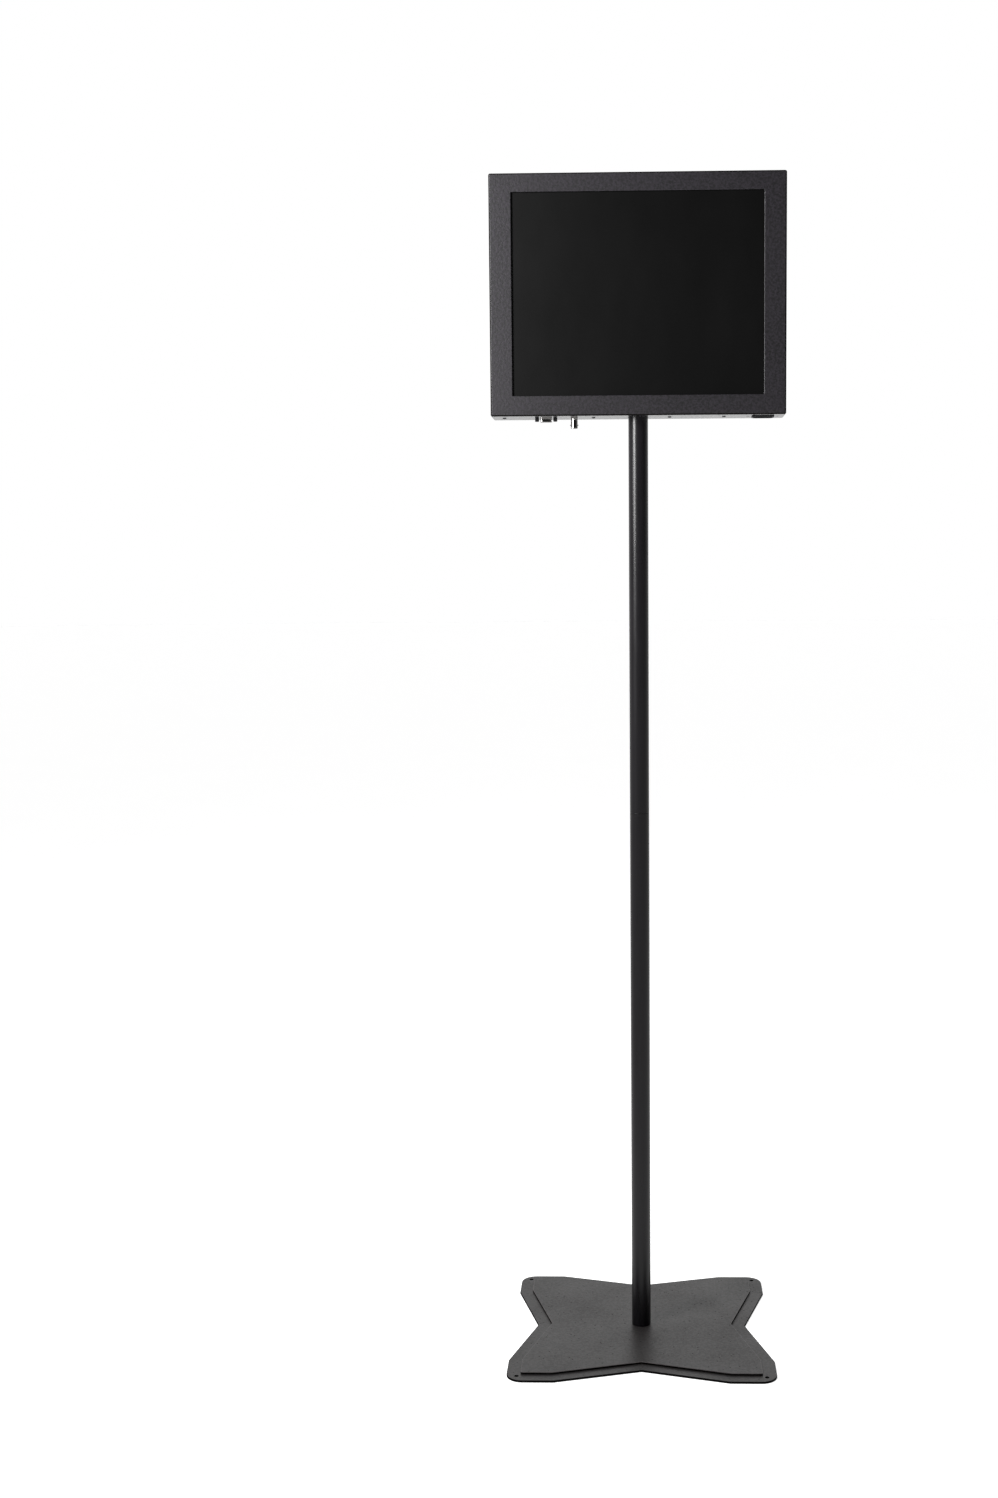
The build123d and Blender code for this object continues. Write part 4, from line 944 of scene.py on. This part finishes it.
def build_service_port():
    """Nine-way socket: shell, insert and jack screws."""
    sizes = bpy.context.scene.kiosk_ports
    finish = finishes()
    low = SHELL_LOW.z - CASING_LOW.z
    wall, lip = sizes.shell_wall, 0.25 * MM
    top = 2.5 * MM
    bm = bmesh.new()
    steps = [(-wall, low + lip), (-wall + lip, low), (-lip, low), (0, low + lip), (0, top - MM)]
    stack(bm, shell_outline, steps + [(0, top), (-wall, top)], SERVICE, looped=True)
    flange = SHELL_HIGH.x - SERVICE.x
    flange_deep = SHELL_HIGH.y - SERVICE.y
    rings = [at(rectangle(2 * (flange + grow), 2 * (flange_deep + grow), MM, 8), z, SERVICE)
             for grow, z in ((-0.1 * MM, 1.5 * MM), (0, 1.6 * MM), (0, 2.4 * MM), (-0.1 * MM, top))]
    rings += [at(shell_outline(-0.05 * MM), top, SERVICE), at(shell_outline(-0.05 * MM), 1.5 * MM, SERVICE)]
    loft(bm, rings, looped=True)
    dress(new_object("service_shell", bm), "head", finish["nickel_plate"],
          ["service_port_shell"])
    bm = bmesh.new()
    insert_low, insert_high = INSERT_LOW.z - CASING_LOW.z, INSERT_HIGH.z - CASING_LOW.z
    stack(bm, lambda grow: shell_outline(grow - wall - SLIT), slab_steps(insert_low, insert_high, 0.25 * MM),
          SERVICE)
    insert = new_object("service_insert", bm)
    bm = bmesh.new()
    for row, count in ((1, 5), (-1, 4)):
        for index in range(count):
            place = SERVICE + Vector(((index - (count - 1) / 2) * sizes.contact_pitch,
                                      row * sizes.contact_rows / 2, insert_low))
            stack(bm, lambda grow: circle(sizes.contact_radius + grow, 20),
                  cutter_steps(0, 5 * MM, 0.3 * MM), place)
    dress(cut(insert, new_object("contact_cutter", bm)), "head", finish["black_plastic"],
          ["service_port_insert"])
    bm = bmesh.new()
    for side in (-1, 1):
        place = SERVICE + Vector((side * sizes.jack_pitch / 2, 0, 0))
        drop = JACKS_LOW.z - CASING_LOW.z
        corner, flat, bore = sizes.jack_hex / math.sqrt(3), sizes.jack_hex / 2, sizes.jack_bore
        rings = [at(circle(bore + 0.35 * MM), drop, place), at(circle(flat * 0.93), drop, place)]
        rings += [at(circle(flat), drop + 0.15 * MM, place),
                  at(hexagon(corner, 64), drop + 0.5 * MM, place)]
        rings += [at(hexagon(corner, 64), -0.3 * MM, place), at(circle(flat), 0, place)]
        rings += [at(circle(1.5 * MM), 0, place), at(circle(1.5 * MM), 5.5 * MM, place)]
        rings += [at(circle(bore), 5.5 * MM, place)]
        turns = 16
        for index in range(turns):
            depth = 5.2 * MM + (drop + 0.5 * MM - 5.2 * MM) * index / (turns - 1)
            rings.append(at(circle(bore + (0.12 * MM if index % 2 else 0)), depth, place))
        loft(bm, rings, looped=True)
    dress(new_object("service_jack_screws", bm), "head", finish["black_screw"],
          ["jack_screws"])


def build_antenna_jack():
    """Coaxial bayonet jack with its two lugs."""
    sizes = bpy.context.scene.kiosk_ports
    low = ANTENNA_LOW.z - CASING_LOW.z
    outer, bore = sizes.antenna_radius, sizes.antenna_bore
    top = ANTENNA_HIGH.z - CASING_LOW.z
    profile = [(bore + 0.15 * MM, low), (outer - 0.35 * MM, low), (outer - 0.1 * MM, low + 0.12 * MM),
               (outer, low + 0.45 * MM), (outer, -4.6 * MM), (outer - 0.35 * MM, -4.4 * MM),
               (outer - 0.35 * MM, -3.9 * MM), (outer, -3.7 * MM), (outer, -0.9 * MM)]
    for index in range(4):
        height = -0.9 * MM + index * 0.8 * MM
        profile += [(outer - 0.2 * MM, height + 0.2 * MM), (outer, height + 0.6 * MM)]
    profile += [(outer, top - 0.3 * MM), (outer - 0.3 * MM, top), (0.8 * MM, top), (0.8 * MM, -2.1 * MM),
                (bore, -2 * MM), (bore, low + 0.2 * MM)]
    bm = bmesh.new()
    turned(bm, profile, ANTENNA, count=64, looped=True)
    bevel, inside = circle(0.9 * JACK_NUT, 48), circle(outer - 0.1 * MM, 48)
    rings = [(bevel, JACK_NUT_LOW), (hexagon(JACK_NUT), JACK_NUT_LOW + 0.4 * MM),
             (hexagon(JACK_NUT), JACK_NUT_HIGH - 0.4 * MM), (bevel, JACK_NUT_HIGH),
             (inside, JACK_NUT_HIGH), (inside, JACK_NUT_LOW)]
    loft(bm, [at(outline, height, ANTENNA) for outline, height in rings], looped=True)
    lug = ANTENNA + Vector((0, 0, low + sizes.lug_up))
    for turn in (TO_SIDE, Matrix.Rotation(math.pi, 3, "Z") @ TO_SIDE):
        turned(bm, [(sizes.lug_radius, bore + 0.2 * MM), (sizes.lug_radius, sizes.lug_reach - 0.25 * MM),
                    (sizes.lug_radius - 0.25 * MM, sizes.lug_reach)], lug, turn, 32)
    dress(new_object("antenna_socket", bm), "head", finishes()["nickel_plate"],
          ["antenna_jack"])


def build_mains_inlet():
    """Three-pin mains inlet with its pins and screws."""
    sizes = bpy.context.scene.kiosk_ports
    finish = finishes()
    low, wall = -sizes.inlet_proud, sizes.inlet_wall
    floor = low + sizes.inlet_cavity
    top = INLET_HIGH.z - CASING_LOW.z
    bm = bmesh.new()
    steps = [(-wall, floor), (-wall, low + 0.8 * MM), (-wall + 0.2 * MM, low + 0.3 * MM),
             (-wall + 0.6 * MM, low), (-0.3 * MM, low), (0, low + 0.3 * MM), (0, top - 0.5 * MM),
             (-0.5 * MM, top)]
    stack(bm, inlet_outline, steps, INLET)
    half_w, half_d = INLET_HIGH.x - INLET.x, INLET_HIGH.y - INLET.y
    rings = [at(rectangle(2 * (half_w + grow), 2 * (half_d + grow), 3 * MM, 6), z, INLET)
             for grow, z in ((0, INLET_FLANGE_LOW), (0, INLET_FLANGE_HIGH - 0.3 * MM),
                             (-0.3 * MM, INLET_FLANGE_HIGH))]
    loft(bm, rings)
    dress(new_object("mains_inlet", bm), "head", finish["black_plastic"], ["power_inlet"])
    bm = bmesh.new()
    for dx, dy in PIN_SPOTS:
        place = INLET + Vector((dx * MM, dy * MM, 0))
        stack(bm, lambda grow: rectangle(PIN_WIDE + 2 * grow, PIN_DEEP + 2 * grow, 0.35 * MM, 3),
              [(-0.45 * MM, PIN_TIP), (-0.15 * MM, PIN_TIP + 0.5 * MM),
               (0, PIN_TIP + 1.2 * MM), (0, PIN_END)], place)
    dress(new_object("mains_pins", bm), "head", finish["nickel_plate"], ["inlet_pins"])
    bm = bmesh.new()
    for side in (-1, 1):
        reach = INLET_SCREWS_HIGH.x - INLET.x - INLET_SCREW["head"]
        flat_screw(bm, (INLET.x + side * reach, INLET.y, CASING_LOW.z), DOWN, **INLET_SCREW)
    dress(new_object("mains_inlet_screws", bm), "head", finish["black_screw"],
          ["inlet_screws"])


def build_tray_screws():
    """Low-headed screws through the underside into the equipment trays."""
    low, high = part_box("tray_screws")
    y = (low.y + high.y) / 2
    bm = bmesh.new()
    for x in TRAY_FEET:
        button_screw(bm, (x, y, CASING_LOW.z), DOWN, **TRAY_SCREW)
    dress(new_object("tray_fixing_screws", bm), "head", finishes()["black_screw"],
          ["tray_screws"])


# ---- parts kept as the frame gives them ----

KEPT = {
    "bright_steel": ["foot_spigot", "joint_spigot", "pole_socket"],
    "black_screw": ["foot_bolt", "foot_grub_screw", "spigot_grub_screws", "joint_grub_screw",
                    "clamp_screws"],
    "white_nylon": ["thrust_pad", "socket_liner", "antenna_insulator"],
    "zinc_sheet": ["screen_bracket_left", "screen_bracket_right", "equipment_tray_left",
                   "equipment_tray_right"],
    "zinc_screw": ["casing_pillars", "bracket_screws", "board_standoffs", "board_screws"],
    "black_plastic": ["tube_plug", "glass_spacer"],
    "gasket_rubber": ["glass_gasket"],
    "screen_face": ["screen_cell"],
    "circuit_board": ["computer_board", "power_supply", "display_driver", "touch_controller", "port_board"],
    "raw_aluminium": ["heat_sink", "storage_drive", "screen_frame"],
    "brass_part": ["antenna_contact"],
    "cable_jacket": ["mains_lead", "supply_lead", "display_lead", "touch_lead", "service_lead",
                     "antenna_lead"],
}


def finish_kept_parts():
    """Give every part that keeps its shape the finish of its slot."""
    finish = finishes()
    for slot, names in KEPT.items():
        for name in names:
            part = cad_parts[name]
            part.data.materials.clear()
            part.data.materials.append(finish[slot])


# ---- stage ----

def build_floor():
    """A wide plain pale floor."""
    radius = bpy.context.scene.kiosk_stage.floor_radius
    bm = bmesh.new()
    loft(bm, [at(circle(radius, 96), height) for height in (-0.2, -0.0002)])
    floor = new_object("studio_floor", bm)
    surface = Surface("pale floor", specular=0.2)
    surface.colour(surface.blend(surface.noise(0.5, 2.0), (0.86, 0.86, 0.86), (0.9, 0.9, 0.9)))
    surface.shader.inputs["Roughness"].default_value = 0.85
    surface.shader.inputs["Emission Color"].default_value = (1, 1, 1, 1)
    surface.shader.inputs["Emission Strength"].default_value = bpy.context.scene.kiosk_stage.floor_glow
    floor.data.materials.append(surface.material)


def add_light(name, place, target, size, power):
    """A soft rectangular light aimed at a point."""
    lamp = bpy.data.lights.new(name, "AREA")
    lamp.shape = "RECTANGLE"
    lamp.size, lamp.size_y = size
    lamp.energy = power
    holder = bpy.data.objects.new(name, lamp)
    holder.location = place
    holder.rotation_euler = (Vector(target) - Vector(place)).to_track_quat("-Z", "Y").to_euler()
    bpy.context.scene.collection.objects.link(holder)


def build_lights():
    """A bright studio wall behind and a tall soft box at the left."""
    world = bpy.data.worlds.new("studio")
    bpy.context.scene.world = world
    world.use_nodes = True
    nodes, links = world.node_tree.nodes, world.node_tree.links
    direction = nodes.new("ShaderNodeTexCoord").outputs["Generated"]
    split = nodes.new("ShaderNodeSeparateXYZ")
    links.new(direction, split.inputs["Vector"])
    ramp = nodes.new("ShaderNodeMapRange")
    ramp.interpolation_type = "SMOOTHSTEP"
    for name, value in WALL_LIGHT.items():
        ramp.inputs[name].default_value = value
    links.new(split.outputs["Y"], ramp.inputs["Value"])
    seen = nodes.new("ShaderNodeMix")
    seen.data_type = "RGBA"
    links.new(nodes.new("ShaderNodeLightPath").outputs["Is Camera Ray"], seen.inputs["Factor"])
    links.new(ramp.outputs["Result"], seen.inputs[6])
    seen.inputs[7].default_value = (1, 1, 1, 1)
    links.new(seen.outputs[2], nodes["Background"].inputs["Color"])
    nodes["Background"].inputs["Strength"].default_value = 1.0
    add_light("key_soft_box", SOFT_BOX_PLACE, SOFT_BOX_TARGET, SOFT_BOX_SIZE, SOFT_BOX_POWER)


def build_camera():
    """The viewing camera."""
    stage = bpy.context.scene.kiosk_stage
    pan, tilt, roll = stage.pan, stage.tilt, stage.roll
    ahead = Vector((-math.sin(pan) * math.cos(tilt), math.cos(pan) * math.cos(tilt), -math.sin(tilt)))
    level_right = Vector((math.cos(pan), math.sin(pan), 0))
    level_up = level_right.cross(ahead)
    right = level_right * math.cos(roll) - level_up * math.sin(roll)
    up = level_right * math.sin(roll) + level_up * math.cos(roll)
    data = bpy.data.cameras.new("viewing_camera")
    data.lens, data.sensor_width, data.shift_x = stage.lens, 36, stage.shift
    data.clip_end = 200
    camera = bpy.data.objects.new("viewing_camera", data)
    turn = Matrix((right, up, -ahead)).transposed().to_4x4()
    camera.matrix_world = Matrix.Translation(Vector(stage.eye)) @ turn
    bpy.context.scene.collection.objects.link(camera)
    bpy.context.scene.camera = camera


# ---- operators, panel and registration ----

class KIOSK_OT_plates(bpy.types.Operator):
    """Build the two floor plates"""

    bl_idname = "kiosk.plates"
    bl_label = "Floor Plates"
    bl_options = {"REGISTER", "UNDO"}

    def execute(self, context):
        build_plates()
        return {"FINISHED"}


class KIOSK_OT_pole(bpy.types.Operator):
    """Build the pole's two sections"""

    bl_idname = "kiosk.pole"
    bl_label = "Pole"
    bl_options = {"REGISTER", "UNDO"}

    def execute(self, context):
        build_pole()
        return {"FINISHED"}


class KIOSK_OT_casing(bpy.types.Operator):
    """Build the head's casing and glass"""

    bl_idname = "kiosk.casing"
    bl_label = "Casing and Glass"
    bl_options = {"REGISTER", "UNDO"}

    def execute(self, context):
        build_casing()
        build_glass()
        return {"FINISHED"}


class KIOSK_OT_rear(bpy.types.Operator):
    """Build the rear cover, its screws and its plugs"""

    bl_idname = "kiosk.rear"
    bl_label = "Rear Cover"
    bl_options = {"REGISTER", "UNDO"}

    def execute(self, context):
        build_rear_cover()
        build_rear_fixings()
        return {"FINISHED"}


class KIOSK_OT_ports(bpy.types.Operator):
    """Build the connectors and screws on the underside"""

    bl_idname = "kiosk.ports"
    bl_label = "Connectors"
    bl_options = {"REGISTER", "UNDO"}

    def execute(self, context):
        build_service_port()
        build_antenna_jack()
        build_mains_inlet()
        build_tray_screws()
        return {"FINISHED"}


class KIOSK_OT_kept_parts(bpy.types.Operator):
    """Give the remaining parts their finishes"""

    bl_idname = "kiosk.kept_parts"
    bl_label = "Inner Parts"
    bl_options = {"REGISTER", "UNDO"}

    def execute(self, context):
        finish_kept_parts()
        return {"FINISHED"}


class KIOSK_OT_stage(bpy.types.Operator):
    """Add the floor, the lights and the camera"""

    bl_idname = "kiosk.stage"
    bl_label = "Stage"
    bl_options = {"REGISTER", "UNDO"}

    def execute(self, context):
        build_floor()
        build_lights()
        build_camera()
        return {"FINISHED"}


OPERATORS = (KIOSK_OT_plates, KIOSK_OT_pole, KIOSK_OT_casing, KIOSK_OT_rear, KIOSK_OT_ports,
             KIOSK_OT_kept_parts, KIOSK_OT_stage)


class KIOSK_PT_panel(bpy.types.Panel):
    """Lists the kiosk's operators"""

    bl_idname = "KIOSK_PT_panel"
    bl_label = "Kiosk"
    bl_space_type = "VIEW_3D"
    bl_region_type = "UI"
    bl_category = "Kiosk"

    def draw(self, context):
        for operator in OPERATORS:
            self.layout.operator(operator.bl_idname)


def register():
    """Register the settings, the operators and the panel."""
    for attribute, group in SETTINGS:
        bpy.utils.register_class(group)
        setattr(bpy.types.Scene, attribute, PointerProperty(type=group))
    for kind in (*OPERATORS, KIOSK_PT_panel):
        bpy.utils.register_class(kind)


def unregister():
    """Undo register."""
    for kind in reversed((*OPERATORS, KIOSK_PT_panel)):
        bpy.utils.unregister_class(kind)
    for attribute, group in reversed(SETTINGS):
        delattr(bpy.types.Scene, attribute)
        bpy.utils.unregister_class(group)


def main():
    """Register the add-on, build everything and set the plain view transform."""
    register()
    for operator in OPERATORS:
        group, name = operator.bl_idname.split(".")
        getattr(getattr(bpy.ops, group), name)()
    bpy.context.scene.view_settings.view_transform = "Standard"
    bpy.context.view_layer.update()


if __name__ == "__main__":
    main()
